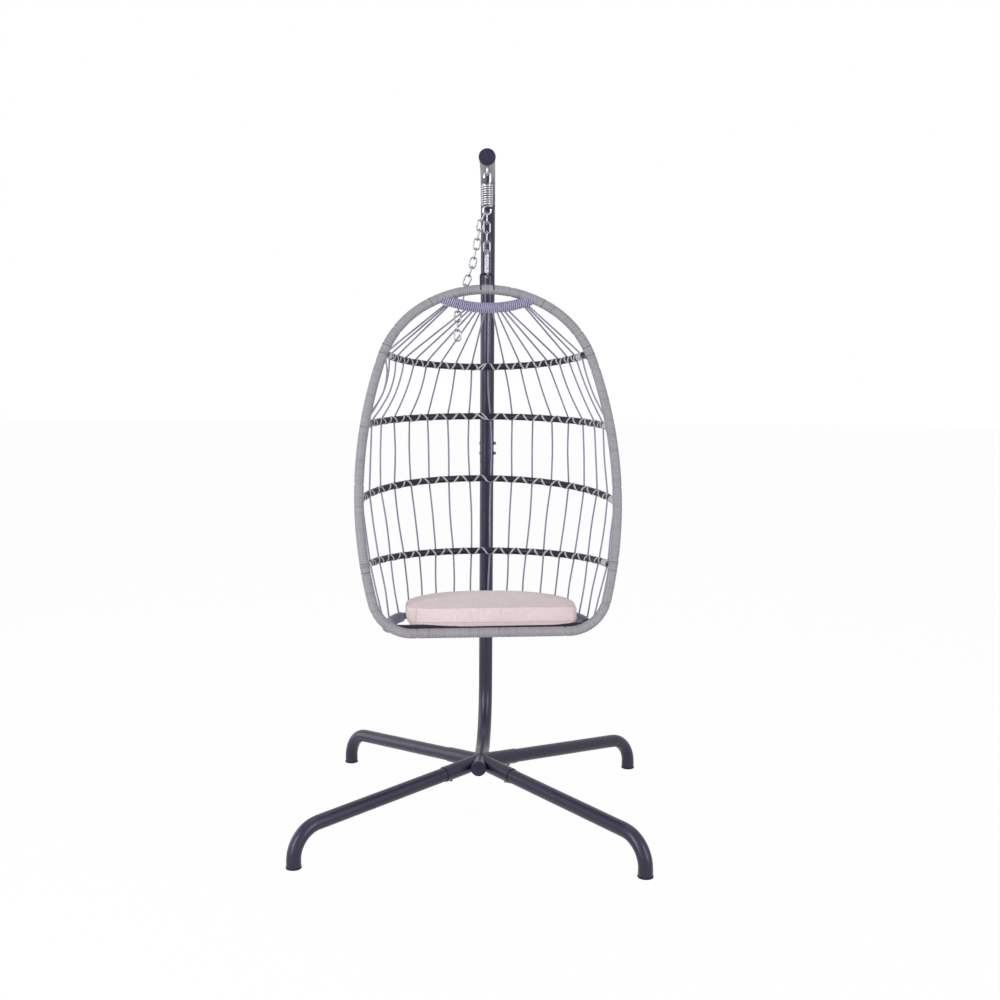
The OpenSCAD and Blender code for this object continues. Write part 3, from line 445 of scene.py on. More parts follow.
def powder_coat(name, colour, light, roughness, gloss=0.3):
    """Satin powder coat: orange peel, faint patches and rubbed edges."""
    m = Nodes(name)
    at = m.coords()
    patches = m.ramp(m.noise(at, 9.0), 0.35, 0.7)
    rubbed = m.ramp(m.noise(at, 160.0, 4.0), 0.66, 0.74, 0.0, 0.35)
    base = m.blend(m.math("MULTIPLY", patches, 0.35), colour, light)
    base = m.blend(rubbed, base, light)
    satin = m.ramp(m.noise(at, 40.0), 0.3, 0.7, roughness - 0.05, roughness + 0.07)
    peel = m.bump(m.noise(at, 900.0, 2.0), 0.12, 0.0004)
    return m.finish(base, satin, peel, Specular_IOR_Level=gloss, Specular_Tint=COOL_TINT)


def zinc_plate(name, colour, dark, roughness):
    """Bright zinc plating: faint spangle, drawn lines and dull spots."""
    m = Nodes(name)
    at = m.coords()
    spangle = m.add("ShaderNodeTexVoronoi", {"Vector": at, "Scale": 260.0}, out="Color")
    grey = m.ramp(m.split(spangle)[0], 0.0, 1.0, 0.0, 0.3)
    dull = m.ramp(m.noise(at, 120.0, 5.0), 0.5, 0.75)
    base = m.blend(grey, colour, dark)
    base = m.blend(m.math("MULTIPLY", dull, 0.5), base, dark)
    shine = m.ramp(m.noise(at, 300.0), 0.3, 0.7, roughness - 0.07, roughness + 0.12)
    grain = m.bump(m.noise(at, 1500.0, 2.0), 0.04, 0.0002)
    return m.finish(base, shine, grain, Metallic=1.0)


def moulded(name, colour, light, roughness):
    """Moulded plastic: spark-eroded grain and slightly polished patches."""
    m = Nodes(name)
    at = m.coords()
    base = m.blend(m.ramp(m.noise(at, 30.0), 0.4, 0.75), colour, light)
    dull = m.ramp(m.noise(at, 80.0), 0.3, 0.7, roughness - 0.08, roughness + 0.08)
    grain = m.bump(m.noise(at, 2200.0, 3.0), 0.25, 0.0003)
    return m.finish(base, dull, grain, Specular_IOR_Level=0.35, Specular_Tint=COOL_TINT)


def extruded_strand(name, colour, light, dark, groove_shade=0.0):
    """Grey plastic wicker: streaks along each strand, and painted shade at its two edges, in the
    groove where it meets the next strand, stronger in random patches.
    """
    m = Nodes(name)
    uv = m.coords("UV")
    streaks = m.noise(m.stretch(uv, (25.0, 9.0, 1.0)), 3.0, 4.0)
    tone = m.noise(m.stretch(uv, (7.0, 0.2, 1.0)), 1.0, 2.0)
    cloud = m.noise(m.coords(), 14.0, 2.0)
    base = m.blend(m.ramp(streaks, 0.35, 0.7), colour, light)
    base = m.blend(m.ramp(tone, 0.5, 0.75, 0.0, 0.55), base, dark)
    base = m.blend(m.ramp(cloud, 0.45, 0.75, 0.0, 0.3), base, light)
    # Painted shade: both edges of each strand darken towards the groove colour, by an amount that
    # varies in random patches.
    edge = m.math("ABSOLUTE", m.math("SUBTRACT", m.split(uv)[1], 0.5))
    groove_shade_strength = m.ramp(m.noise(m.coords(), 60.0), 0.35, 0.65, groove_shade / 3, groove_shade)
    depth = m.math("MULTIPLY", m.ramp(edge, 0.26, 0.5), groove_shade_strength)
    base = m.blend(depth, base, GROOVE_SHADE)
    satin = m.ramp(streaks, 0.3, 0.7, 0.42, 0.6)
    lines = m.bump(streaks, 0.35, 0.0006)
    return m.finish(base, satin, lines)


def braided_rope(name, colour, light, dark, stitch=0.0035, strands=4, valley_shade=0.0):
    """Braided polyester rope: two crossing sets of strands, with painted shade in the braid's low
    parts between them. The last argument sets painted shade over all but the rope's outer crown, where
    wound turns press on each other and on the tube.
    """
    m = Nodes(name)
    u, v, _ = m.split(m.coords("UV"))
    along = m.math("MULTIPLY", u, 2 * math.pi / stitch)
    around = m.math("MULTIPLY", v, strands * 2 * math.pi)
    one = m.math("SINE", m.math("ADD", along, around))
    two = m.math("SINE", m.math("SUBTRACT", along, around))
    knit = m.math("MULTIPLY", one, two)
    height = m.ramp(knit, -1.0, 1.0)
    fuzz = m.noise(m.coords(), 1800.0, 3.0)
    # Painted shade: the braid's low parts, between its strands, take the dark colour.
    base = m.blend(m.ramp(height, 0.1, 0.8), dark, colour)
    base = m.blend(m.ramp(fuzz, 0.5, 0.8, 0.0, 0.6), base, light)
    base = m.blend(m.ramp(m.noise(m.coords(), 12.0), 0.45, 0.8, 0.0, 0.4), base, dark)
    # Painted shade: all but the rope's outer crown darkens towards the wound rope's shade colour.
    inner = m.math("SUBTRACT", 0.5, m.math("ABSOLUTE", m.math("SUBTRACT", v, 0.5)))
    base = m.blend(m.ramp(inner, 0.06, 0.22, 0.0, valley_shade), base, VALLEY_SHADE)
    normal = m.bump(fuzz, 0.2, 0.0003, m.bump(height, 0.6, 0.0008))
    return m.finish(base, 0.85, normal, Sheen_Weight=0.25, Sheen_Roughness=0.5)


def linen(name, warp, weft, dark, thread=0.0016):
    """Linen: a plain weave of slubby threads on whichever two axes lie in the surface."""
    m = Nodes(name)
    at = m.coords()
    wander = m.add("ShaderNodeTexNoise", {"Vector": at, "Scale": 45.0, "Detail": 2.0}, out="Color")
    soft = m.add("ShaderNodeVectorMath", {0: wander, 3: thread}, operation="SCALE")
    x, y, z = m.split(m.add("ShaderNodeVectorMath", {0: at, 1: soft}, operation="ADD"))
    waves = [m.math("SINE", m.math("MULTIPLY", axis, math.pi / thread)) for axis in (x, y, z)]
    ny, nz = [m.math("ABSOLUTE", n) for n in m.split(m.coords("Normal"))[1:]]
    tops = m.ramp(nz, 0.55, 0.8)
    fronts = m.ramp(ny, 0.55, 0.8)
    lid = m.math("MULTIPLY", waves[0], waves[1])
    front = m.math("MULTIPLY", waves[0], waves[2])
    flank = m.math("MULTIPLY", waves[1], waves[2])
    wall = m.math("ADD", m.math("MULTIPLY", front, fronts),
                  m.math("MULTIPLY", flank, m.math("SUBTRACT", 1.0, fronts)))
    weave = m.math("ADD", m.math("MULTIPLY", lid, tops),
                   m.math("MULTIPLY", wall, m.math("SUBTRACT", 1.0, tops)))
    height = m.ramp(weave, -1.0, 1.0)
    slub_x = m.noise(m.stretch(at, (60.0, 420.0, 420.0)), 1.0, 3.0)
    slub_y = m.noise(m.stretch(at, (420.0, 60.0, 110.0)), 1.0, 3.0)
    base = m.blend(height, weft, warp)
    base = m.blend(m.ramp(slub_x, 0.5, 0.7, 0.0, 0.7), base, warp)
    base = m.blend(m.ramp(slub_y, 0.5, 0.72, 0.0, 0.4), base, dark)
    base = m.blend(m.ramp(m.noise(at, 7.0), 0.45, 0.8, 0.0, 0.25), base, dark)
    slubs = m.math("MAXIMUM", slub_x, slub_y)
    normal = m.bump(height, 0.5, 0.0005, m.bump(slubs, 0.3, 0.0006))
    return m.finish(base, 0.92, normal, Sheen_Weight=0.3, Sheen_Roughness=0.4)


# ------------------------------------------------------------------ materials

paint = powder_coat("stand_paint", rgb(34, 32, 48), rgb(48, 46, 64), 0.32, 0.45)
black = powder_coat("frame_paint", rgb(27, 25, 37), rgb(40, 38, 51), 0.36)
plastic = moulded("black_plastic", rgb(26, 23, 42), rgb(38, 35, 56), 0.5)
zinc = zinc_plate("zinc", rgb(154, 154, 162), rgb(92, 92, 100), 0.22)
bright_zinc = zinc_plate("bright_zinc", rgb(190, 190, 197), rgb(124, 124, 131), 0.25)
steel = zinc_plate("bolt_steel", rgb(120, 120, 128), rgb(60, 60, 68), 0.38)
# The wicker's last number is the strength of its painted groove shade.
wicker = extruded_strand("wicker", rgb(128, 125, 132), rgb(150, 147, 153), rgb(98, 95, 103), 0.5)
seam_strand = extruded_strand("wrap_seam", rgb(74, 72, 80), rgb(104, 101, 108), rgb(50, 48, 56))
lace_strand = extruded_strand("lace", rgb(166, 163, 168), rgb(186, 183, 188), rgb(140, 137, 143))
rope_cloth = braided_rope("rope", rgb(150, 146, 174), rgb(184, 180, 202), rgb(104, 100, 126))
# The rope as wound: lighter than the loose rope, as painted light on the crowns of its turns, and with
# painted shade over the rest.
lit_and_shaded_wound_cloth = braided_rope("wound_rope_lit_and_shaded", rgb(176, 169, 204), rgb(216, 211, 234), rgb(116, 110, 144),
                           valley_shade=0.9)
cloth = linen("linen", rgb(215, 200, 202), rgb(200, 180, 181), rgb(172, 151, 153))
thread = braided_rope("seam_thread", rgb(198, 180, 180), rgb(212, 196, 196), rgb(176, 158, 160), 0.002)

FINISHES = {
    "lower_pole": paint, "upper_pole": paint, "leg_front_left": paint, "leg_front_right": paint,
    "leg_back_left": paint, "leg_back_right": paint, "stub_cap": plastic, "arm_cap": plastic,
    "foot_cap_front_left": plastic, "foot_cap_front_right": plastic,
    "foot_cap_back_left": plastic, "foot_cap_back_right": plastic, "leg_bolts": steel,
    "pole_bolts": black, "hanger_eye": bright_zinc,
    "spring_top_hook": bright_zinc, "spring_bottom_hook": bright_zinc, "spring_coil": bright_zinc,
    "first_links": zinc, "main_chain": zinc, "spare_chain": zinc,
    "spare_chain_end": zinc, "carabiner_body": zinc, "carabiner_gate": zinc, "gate_pin": steel,
    "ring_tube": black, "ring_wicker": wicker, "hanger_loop": black, "hoop_tabs": black,
    "hoop_1": black, "hoop_2": black, "hoop_3": black, "hoop_4": black, "hoop_bolts": steel,
    "top_bar": black, "seat_frame": black, "seat_rods": black, "seat_bolts": steel,
    "top_bar_winding": lit_and_shaded_wound_cloth, "seat_winding_left": lit_and_shaded_wound_cloth,
    "seat_winding_right": lit_and_shaded_wound_cloth, "back_ropes": rope_cloth, "cushion": cloth,
}


def give(piece, material):
    piece.data.materials.clear()
    piece.data.materials.append(material)


for node, material in FINISHES.items():
    give(frame["nodes"][node], material)


def settle(piece, material, body, slot, *nodes):
    """Dress a new piece, and make it ride on a body in place of CAD nodes."""
    give(piece, material)
    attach(piece, body)
    if nodes:
        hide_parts(*nodes)


# ------------------------------------------------------------------ pole joint

def pole_joint():
    """Flat button heads on the left, cap nuts on the right, and a thin dark band as painted shade in
    the gap between the tubes.
    """
    heads, nuts = [], []
    side = POLE / 2
    button = [(-side - out, radius) for out, radius in BUTTON_HEAD]
    button.append((side + BOLT_END[0], BOLT_END[1]))
    dome = [(side + DOME_START + DOME_HEIGHT * math.sin(a), DOME_RADIUS * math.cos(a))
            for a in np.linspace(0, 1.45, 8)]
    nut = [(side + out, radius) for out, radius in CAP_NUT]
    for rise in BOLT_RISES:
        centre = (0, 0, POLE_JOINT + rise)
        heads += [revolve(button, 32, centre), revolve(dome, 32, centre)]
        nuts.append(revolve(nut, 6, centre))
    gap = [(height, side + over) for height, over in JOINT_SHADE_BAND]
    ring = revolve(gap, 48, (0, 0, POLE_JOINT), "Z")

    def placed(parts):
        return [(in_arm(points), faces, uvs) for points, faces, uvs in parts]

    button_heads = merge_sweeps("pole_bolt_heads", placed(heads))
    settle(button_heads, steel, "stand", "bolt_steel", "pole_bolts")
    settle(merge_sweeps("pole_nuts", placed(nuts), smooth=False), zinc, "stand", "zinc")
    # A dark band in the caps' plastic, as painted shade where the gap between the tubes lies.
    settle(merge_sweeps("pole_gap_shade", placed([ring])), plastic, "stand", "black_plastic")


pole_joint()


# ------------------------------------------------------------------ ring and its wicker

def heading_way(degrees):
    """(x, z) of the direction at an angle from the ring's top."""
    a = math.radians(degrees)
    return np.array([math.sin(a), math.cos(a)])


def ring_segments():
    """Arcs of the ring's right half: (start heading, radius, centre)."""
    segments, start, centre = [], 0.0, np.array([0, RING_TOP - RING_ARCS[0][0]])
    for i, (radius, turn) in enumerate(RING_ARCS):
        segments.append((start, radius, centre.copy()))
        if i + 1 < len(RING_ARCS):
            start += turn
            centre = centre + (radius - RING_ARCS[i + 1][0]) * heading_way(start)
    return segments


RING = ring_segments()


def ring_point(heading):
    """(x, z) of the ring's centre line where its outward normal has a heading from the top."""
    _, radius, centre = [arc for arc in RING if arc[0] <= heading][-1]
    return centre + radius * heading_way(heading)


RAIL_X, RAIL_Z = ring_point(180)


def ring_line(step):
    """The closed ring: points and outward normals in the basket's frame, a step apart."""
    right = []
    for (start, radius, _), (_, turn) in zip(RING, RING_ARCS):
        for h in np.arange(start, start + turn, math.degrees(step / radius)):
            right.append((*ring_point(h), *heading_way(h)))
    half = right + [(x, RAIL_Z, 0, -1) for x in np.arange(RAIL_X, 0, -step)]
    left = [(-x, z, -nx, nz) for x, z, nx, nz in half[::-1]]
    line = np.array(half + left)
    return line[:, [0, 1]], line[:, [2, 3]]


def ring_wrap(pitch=0.006, round_count=20, across=4):
    """Flat strands wound on the ring: one skin whose rows follow the helix."""
    at, out = ring_line(0.002)
    run = run_along(at)
    turns = int(run[-1] / pitch)
    real = run[-1] / turns
    rows = turns * round_count
    points = np.zeros((rows, across, 3))
    for j in range(across):
        s = (np.arange(rows) / round_count + j / across) * real % run[-1]
        x, z = (np.interp(s, run, at[:, k]) for k in (0, 1))
        nx, nz = (np.interp(s, run, out[:, k]) for k in (0, 1))
        turn = np.arange(rows) * 2 * math.pi / round_count
        joins = sum(np.exp(-((s - k) / JOIN_LENGTH) ** 2) for k in run[-1] * np.array(WRAP_JOINS))
        radius = RING_WRAP - max(STRAND_CROWN) + STRAND_CROWN[j] - JOIN_DIP * joins
        points[:, j, 0] = x + nx * np.cos(turn) * radius
        points[:, j, 1] = np.sin(turn) * radius
        points[:, j, 2] = z + nz * np.cos(turn) * radius
    faces, uvs = [], []
    for i in range(rows):
        for j in range(across):
            far = (i + round_count, 0) if j == across - 1 else (i, j + 1)
            over = (far[0] + 1, far[1])
            corners = ((i, j), (i + 1, j), over, far)
            faces.append([r % rows * across + c for r, c in corners])
            for r, c in ((i, j), (i + 1, j), (i + 1, j + 1), (i, j + 1)):
                uvs.append((r / round_count * STRAND_TURN, c / across))
    piece = add_mesh("ring_wrap", in_basket(points.reshape(-1, 3)), faces, uvs)
    settle(piece, wicker, "basket", "wicker", "ring_wicker")


def loop_straps(reach=0.018, half_turn=1.9, samples=24):
    """Ends of the hanger loop's rod, which lie over the wicker on the ring's crown."""
    ring_radius = RING_ARCS[0][0]
    height = RING_TOP - (ring_radius - math.sqrt(ring_radius ** 2 - reach ** 2))
    over = RING_WRAP + SOFT_GAP
    sweeps = []
    for side in (-1, 1):
        route = [(side * reach, over * math.sin(a), height + over * math.cos(a))
                 for a in np.linspace(-half_turn, half_turn, samples)]
        sweeps.append(sweep(in_basket(route), *STRAP_SECTION, 8))
    settle(merge_sweeps("loop_straps", sweeps), black, "basket", "frame_paint")


def wrap_seams():
    """Dark joints of the wicker beside the top bar and beside the first and last hoops."""
    headings = [SEAM_HEADING]
    for i, arc in ((0, 1), (3, 2)):
        radius = RING_ARCS[arc][0]
        headings += [HOOPS[i][0] + math.degrees(gap / radius) for gap in SEAM_GAPS]
    turn = np.linspace(0, 2 * math.pi, 33)
    sweeps = []
    for heading in headings:
        x, z = ring_point(heading)
        way_x, way_z = heading_way(heading)
        for side in (-1, 1):
            out = np.array([side * way_x, 0, way_z])
            around = np.cos(turn)[:, None] * out + np.sin(turn)[:, None] * np.array([0, 1.0, 0])
            route = np.array([side * x, 0, z]) + around * (RING_WRAP + 0.0001)
            sweeps.append(sweep(in_basket(route), *SEAM_SECTION, 6, around @ BASKET_AXES.T))
    settle(merge_sweeps("wrap_seams", sweeps), seam_strand, "basket", "wicker")


ring_wrap()
wrap_seams()
loop_straps()


# ------------------------------------------------------------------ hoops, bar and seat lines

def hoop_end(i):
    return ring_point(HOOPS[i][0])


def hoop_sweep(i):
    """Radius of hoop i, and its bend centre behind the ring."""
    half, depth = hoop_end(i)[0], HOOPS[i][1] - HOOP_START
    radius = (half * half + depth * depth) / (2 * depth)
    return radius, HOOPS[i][1] - radius


def in_hoop(i, v):
    rise = math.radians(HOOPS[i][2])
    return np.array([v[0], v[1] * math.cos(rise), v[1] * math.sin(rise)])


def hoop_point(i, degrees):
    radius, centre = hoop_sweep(i)
    a = math.radians(degrees)
    flat = in_hoop(i, [radius * math.sin(a), centre + radius * math.cos(a)])
    return flat + np.array([0, 0, hoop_end(i)[1]])


def hoop_out(i, degrees):
    a = math.radians(degrees)
    return in_hoop(i, [math.sin(a), math.cos(a)])


def hoop_along(i, degrees):
    a = math.radians(degrees)
    return in_hoop(i, [math.cos(a), -math.sin(a)])


BAR_HEADING = math.asin(BAR_HALF / RING_ARCS[0][0])
BAR_END_Z = RING_TOP - RING_ARCS[0][0] * (1 - math.cos(BAR_HEADING))
BAR_RADIUS = (BAR_HALF ** 2 + BAR_SAG ** 2) / (2 * BAR_SAG)
BAR_CENTRE_Z = BAR_END_Z - BAR_SAG + BAR_RADIUS


def on_bar(x):
    return np.array([x, 0, BAR_CENTRE_Z - math.sqrt(BAR_RADIUS ** 2 - x * x)])


SEAT_Y = RING_WRAP + HOOP_TUBE + 0.003
SEAT_Z = RAIL_Z + 0.014
SEAT_LEG = SEAT_DEPTH - SEAT_HALF
SEAT_ARC = SEAT_HALF * math.pi / 2
SEAT_UP = np.array([0, -math.sin(SEAT_RISE), math.cos(SEAT_RISE)])


def in_seat(x, y, z=0.0):
    """A direction of the seat's plane in the basket's frame."""
    return np.array([x, y * math.cos(SEAT_RISE) - z * math.sin(SEAT_RISE),
                     y * math.sin(SEAT_RISE) + z * math.cos(SEAT_RISE)])


def seat_point(s):
    """Centre line of the seat frame at an arc length from the middle of its back."""
    if abs(s) < SEAT_ARC:
        flat = (SEAT_HALF * math.sin(s / SEAT_HALF), SEAT_LEG + SEAT_HALF * math.cos(s / SEAT_HALF))
    else:
        flat = (math.copysign(SEAT_HALF, s), SEAT_LEG - abs(s) + SEAT_ARC)
    return in_seat(*flat) + np.array([0, SEAT_Y, SEAT_Z])


def seat_out(s):
    if abs(s) < SEAT_ARC:
        return in_seat(math.sin(s / SEAT_HALF), math.cos(s / SEAT_HALF))
    return in_seat(math.copysign(1, s), 0)


# ------------------------------------------------------------------ ropes

WOUND_RADIUS = HOOP_TUBE + ROPE + SOFT_GAP
SIDE_FROM = SEAT_ARC + SEAT_LEG - SEAT_CORNER - SIDE_INSET


def winding(name, centre, out, up, loops, per_turn=20):
    """A rope wound on a tube: centre and out are functions of the share along it, and up is one
    direction square to both."""
    route, outward = [], []
    for k in range(loops * per_turn + 1):
        share = k / (loops * per_turn)
        a = 2 * math.pi * k / per_turn
        outward.append(math.cos(a) * out(share) + math.sin(a) * up)
        route.append(centre(share) + (HOOP_TUBE + ROPE / 2 + WINDING_GAP) * outward[-1])
    rope = sweep(in_basket(route), ROPE, ROPE, 8, np.array(outward) @ BASKET_AXES.T)
    return merge_sweeps(name, [rope])


def bar_winding(loops=46):
    """The rope wound on the sagging top bar."""
    turn = math.asin(BAR_HALF / BAR_RADIUS) - BAR_BARE

    def angle(share):
        return -turn + 2 * turn * share

    def centre(share):
        return on_bar(BAR_RADIUS * math.sin(angle(share)))

    def out(share):
        return np.array([-math.sin(angle(share)), 0, math.cos(angle(share))])

    piece = winding("bar_wrap", centre, out, np.array([0, 1.0, 0]), loops)
    settle(piece, lit_and_shaded_wound_cloth, "basket", "rope", "top_bar_winding")


def seat_winding(name, side, loops=28):
    """The rope wound on one side of the seat frame."""

    def along(share):
        return side * (SIDE_FROM - SIDE_WOUND * share)

    def centre(share):
        return seat_point(along(share))

    def out(share):
        return seat_out(along(share))

    piece = winding(name + "_wrap", centre, out, SEAT_UP, loops)
    settle(piece, rope_cloth, "basket", "rope", name)


bar_winding()
seat_winding("seat_winding_left", -1)
seat_winding("seat_winding_right", 1)


def share_of(j):
    """Where rope j lies between the outermost two, from -1 to 1."""
    return (2 * j - (ROPE_COUNT - 1)) / (ROPE_COUNT - 1)


def lash_x(j):
    """How far to the side rope j is lashed to the top bar."""
    k = min(j, ROPE_COUNT - 1 - j)
    if k < LASH_GROUP:
        reach = LASH_END + (LASH_GROUP - 1 - k) * LASH_STEP
    else:
        half = ROPE_COUNT / 2 - 0.5
        reach = LASH_INNER * (half - k) / (half - LASH_GROUP)
    return math.copysign(reach, share_of(j))


def crossing(i, j):
    """Degrees along hoop i where rope j crosses it: ropes lie closer together near its ends."""
    share = share_of(j)
    return ROPE_SPREAD[i] * (share + (1 - share * share) * (ROPE_BUNCH[i] * share + ROPE_SHIFT))


def bare(i, j):
    return hoop_point(i, crossing(i, j))


def hoop_rope(i, j, outward_share=0.1):
    """Rope j's three points round hoop i, behind its bend."""
    p, a = bare(i, j), crossing(i, j)
    before = on_bar(lash_x(j)) if i == 0 else bare(i - 1, j)
    after = seat_point(share_of(j) * SEAT_SPREAD) if i == 3 else bare(i + 1, j)
    coming, going = unit(p - before), unit(after - p)
    bend = coming - going + outward_share * hoop_out(i, a)
    along = hoop_along(i, a)
    out = unit(bend - (bend @ along) * along)
    down = np.cross(out, along)
    turn = max(math.radians(LEAST_TURN), math.acos(float(coming @ going))) / 3
    reach = (HOOP_TUBE + ROPE / 2 + SOFT_GAP) / math.cos(turn / 2)
    return [p + (math.cos(k * turn) * out + math.sin(k * turn) * down) * reach for k in (-1, 0, 1)]


def seat_rope(j, degrees):
    """A point of rope j's turn round the outer side and the underside of the seat frame."""
    s = share_of(j) * SEAT_SPREAD
    wound = abs(s) > SIDE_FROM - SIDE_WOUND - ROPE
    under = WOUND_RADIUS if wound else HOOP_TUBE
    reach = (ROPE / 2 + SOFT_GAP + under) / math.cos(math.radians(SEAT_STEP / 2))
    a = math.radians(degrees)
    return seat_point(s) + (math.cos(a) * seat_out(s) - math.sin(a) * SEAT_UP) * reach


def rope_route(j):
    """Rope j from the top bar, behind the four hoops, and under the seat frame."""
    top = on_bar(lash_x(j))
    way = unit(bare(0, j) - top)
    reach = WOUND_RADIUS + SOFT_GAP + ROPE / 2 * abs(way[0])
    turns = [hoop_rope(i, j) for i in range(len(HOOPS))]
    points = [top + unit(np.array([0, way[1], way[2]])) * reach]
    for i, three in enumerate(turns):
        if i:
            points += [slack(turns[i - 1][2], three[0], j, i, t)
                       for t in (LONG_SPAN if i == 1 else SHORT_SPAN)]
        points += three
    points.append(slack(turns[-1][2], seat_rope(j, 0), j, len(HOOPS), SHORT_SPAN[0]))
    points += [seat_rope(j, SEAT_STEP * k) for k in range(3)]
    return smooth_route(points, 0.008)


def slack(a, b, j, i, t):
    """A point of a slack span: it waves sideways, and the outer ropes sag inwards below hoop 1."""
    wave = ROPE_WAVE * math.sin(math.radians(WAVE_STEP * (j + i)))
    share = share_of(j)
    sag = ROPE_SAG[share > 0] * share * abs(share) if i == 1 else 0
    return a + (b - a) * t + math.sin(math.pi * t) * np.array([wave - sag, 0, 0])


def back_ropes():
    sweeps = [sweep(in_basket(rope_route(j)), ROPE, ROPE, 8) for j in range(ROPE_COUNT)]
    settle(merge_sweeps("ropes", sweeps), rope_cloth, "basket", "rope", "back_ropes")


back_ropes()


# ------------------------------------------------------------------ lacing on the hoops

def on_tube(i, degrees, roll):
    """A point just over hoop i's surface, and its normal."""
    a = math.radians(roll)
    inward = -hoop_out(i, degrees)
    up = np.cross(hoop_along(i, degrees), hoop_out(i, degrees))
    normal = math.cos(a) * inward + math.sin(a) * up * (1 if up[2] > 0 else -1)
    return hoop_point(i, degrees) + normal * (HOOP_TUBE + LACE_THICKNESS / 2), normal


def lace(i, stops):
    """A flat strand on hoop i through (degrees along the hoop, roll round it) stops."""
    points, normals = [], []
    for (a, ra), (b, rb) in zip(stops[:-1], stops[1:]):
        for t in np.linspace(0, 1, 9, endpoint=False):
            p, n = on_tube(i, a + (b - a) * t, ra + (rb - ra) * t)
            points.append(p)
            normals.append(n)
    route, outward = np.array(points), np.array(normals)
    return sweep(in_basket(route), LACE_WIDTH, LACE_THICKNESS, 6, outward @ BASKET_AXES.T)


def lacing(i):
    """Zigzag over the front of hoop i, close-wound at its ends. It turns under the hoop at each
    rope and over it between two, and on hoop 1 the other way round."""
    angles = [crossing(i, j) for j in range(ROPE_COUNT)]
    low, high = LACE_ROLLS if i > 0 else [-roll for roll in LACE_ROLLS]
    stops = []
    for j, a in enumerate(angles):
        stops.append((a, low))
        if j + 1 < ROPE_COUNT:
            stops.append(((a + angles[j + 1]) / 2, high))
    strands = [lace(i, stops)]
    if i < 2:
        left, right = angles[ROPE_COUNT // 2 - 1:ROPE_COUNT // 2 + 1]
        strands.append(lace(i, [(left + LACE_GAP, -low), (right - LACE_GAP, -high)]))
    quarter = math.degrees(LACE_PITCH / hoop_sweep(i)[0]) / 4
    for side in (-1, 1):
        start = side * (ROPE_SPREAD[i] + LACE_GAP)
        quarters = range(4 * LACE_END_TURNS[i] + 1)
        strands.append(lace(i, [(start + side * quarter * k, 90 * k + low) for k in quarters]))
    piece = merge_sweeps(f"lacing_{i + 1}", strands)
    settle(piece, lace_strand, "basket", "wicker")


for hoop in range(len(HOOPS)):
    lacing(hoop)


# ------------------------------------------------------------------ spring

def spring_coil(per_turn=32):
    """The close-wound coil between the two hooks."""
    count = COIL_TURNS * per_turn
    a = math.pi / 2 + np.arange(count + 1) * 2 * math.pi / per_turn
    z = np.linspace(COIL_BOTTOM, COIL_TOP, count + 1)
    local = np.stack([COIL_RADIUS * np.cos(a), COIL_RADIUS * np.sin(a), z], axis=1)
    route = local @ turned("Z", ARM_TURN).T + np.array([HANG[0], HANG[1], 0])
    upward = np.tile([0, 0, 1.0], (count + 1, 1))
    piece = merge_sweeps("coil", [sweep(route, SPRING_WIRE, SPRING_WIRE, 12, upward)])
    give(piece, bright_zinc)
    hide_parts("spring_coil")
    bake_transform(piece)


spring_coil()


# ------------------------------------------------------------------ cushion

def power(value, exponent):
    return math.copysign(abs(value) ** exponent, value)


def cushion_edge(a, width, depth):
    """Outline of the cushion: square at the front, round at the back."""
    if math.sin(a) < 0:
        reach, exponent = CUSHION_FRONT, FRONT_CORNERS[math.cos(a) >= 0]
    else:
        reach, exponent = depth - CUSHION_FRONT, BACK_ROUND
    return np.array([width / 2 * power(math.cos(a), exponent), reach * power(math.sin(a), exponent)])


def cushion_place():
    """Matrix from the cushion's own frame to the scene."""
    y, z = CUSHION_FRONT - CUSHION_BACK_SHIFT, HOOP_TUBE + SOFT_GAP
    origin = in_basket(in_seat(CUSHION_SIDE, y, z) + np.array([0, SEAT_Y, SEAT_Z]))
    axes = BASKET_AXES @ turned("X", SEAT_RISE)
    place = Matrix([list(row) + [0] for row in axes] + [[0, 0, 0, 1]])
    place.translation = Vector(origin)
    return place


def cushion_blank(layers, sides=96):
    """A closed form of scaled outlines: layers are (height, scale)."""
    width, depth, _ = CUSHION
    points = []
    for height, scale in layers:
        for k in range(sides):
            x, y = cushion_edge(2 * math.pi * (k + 0.5) / sides, width, depth) * scale
            points.append((x, y, height))
    return points, tube_faces(len(layers), sides)


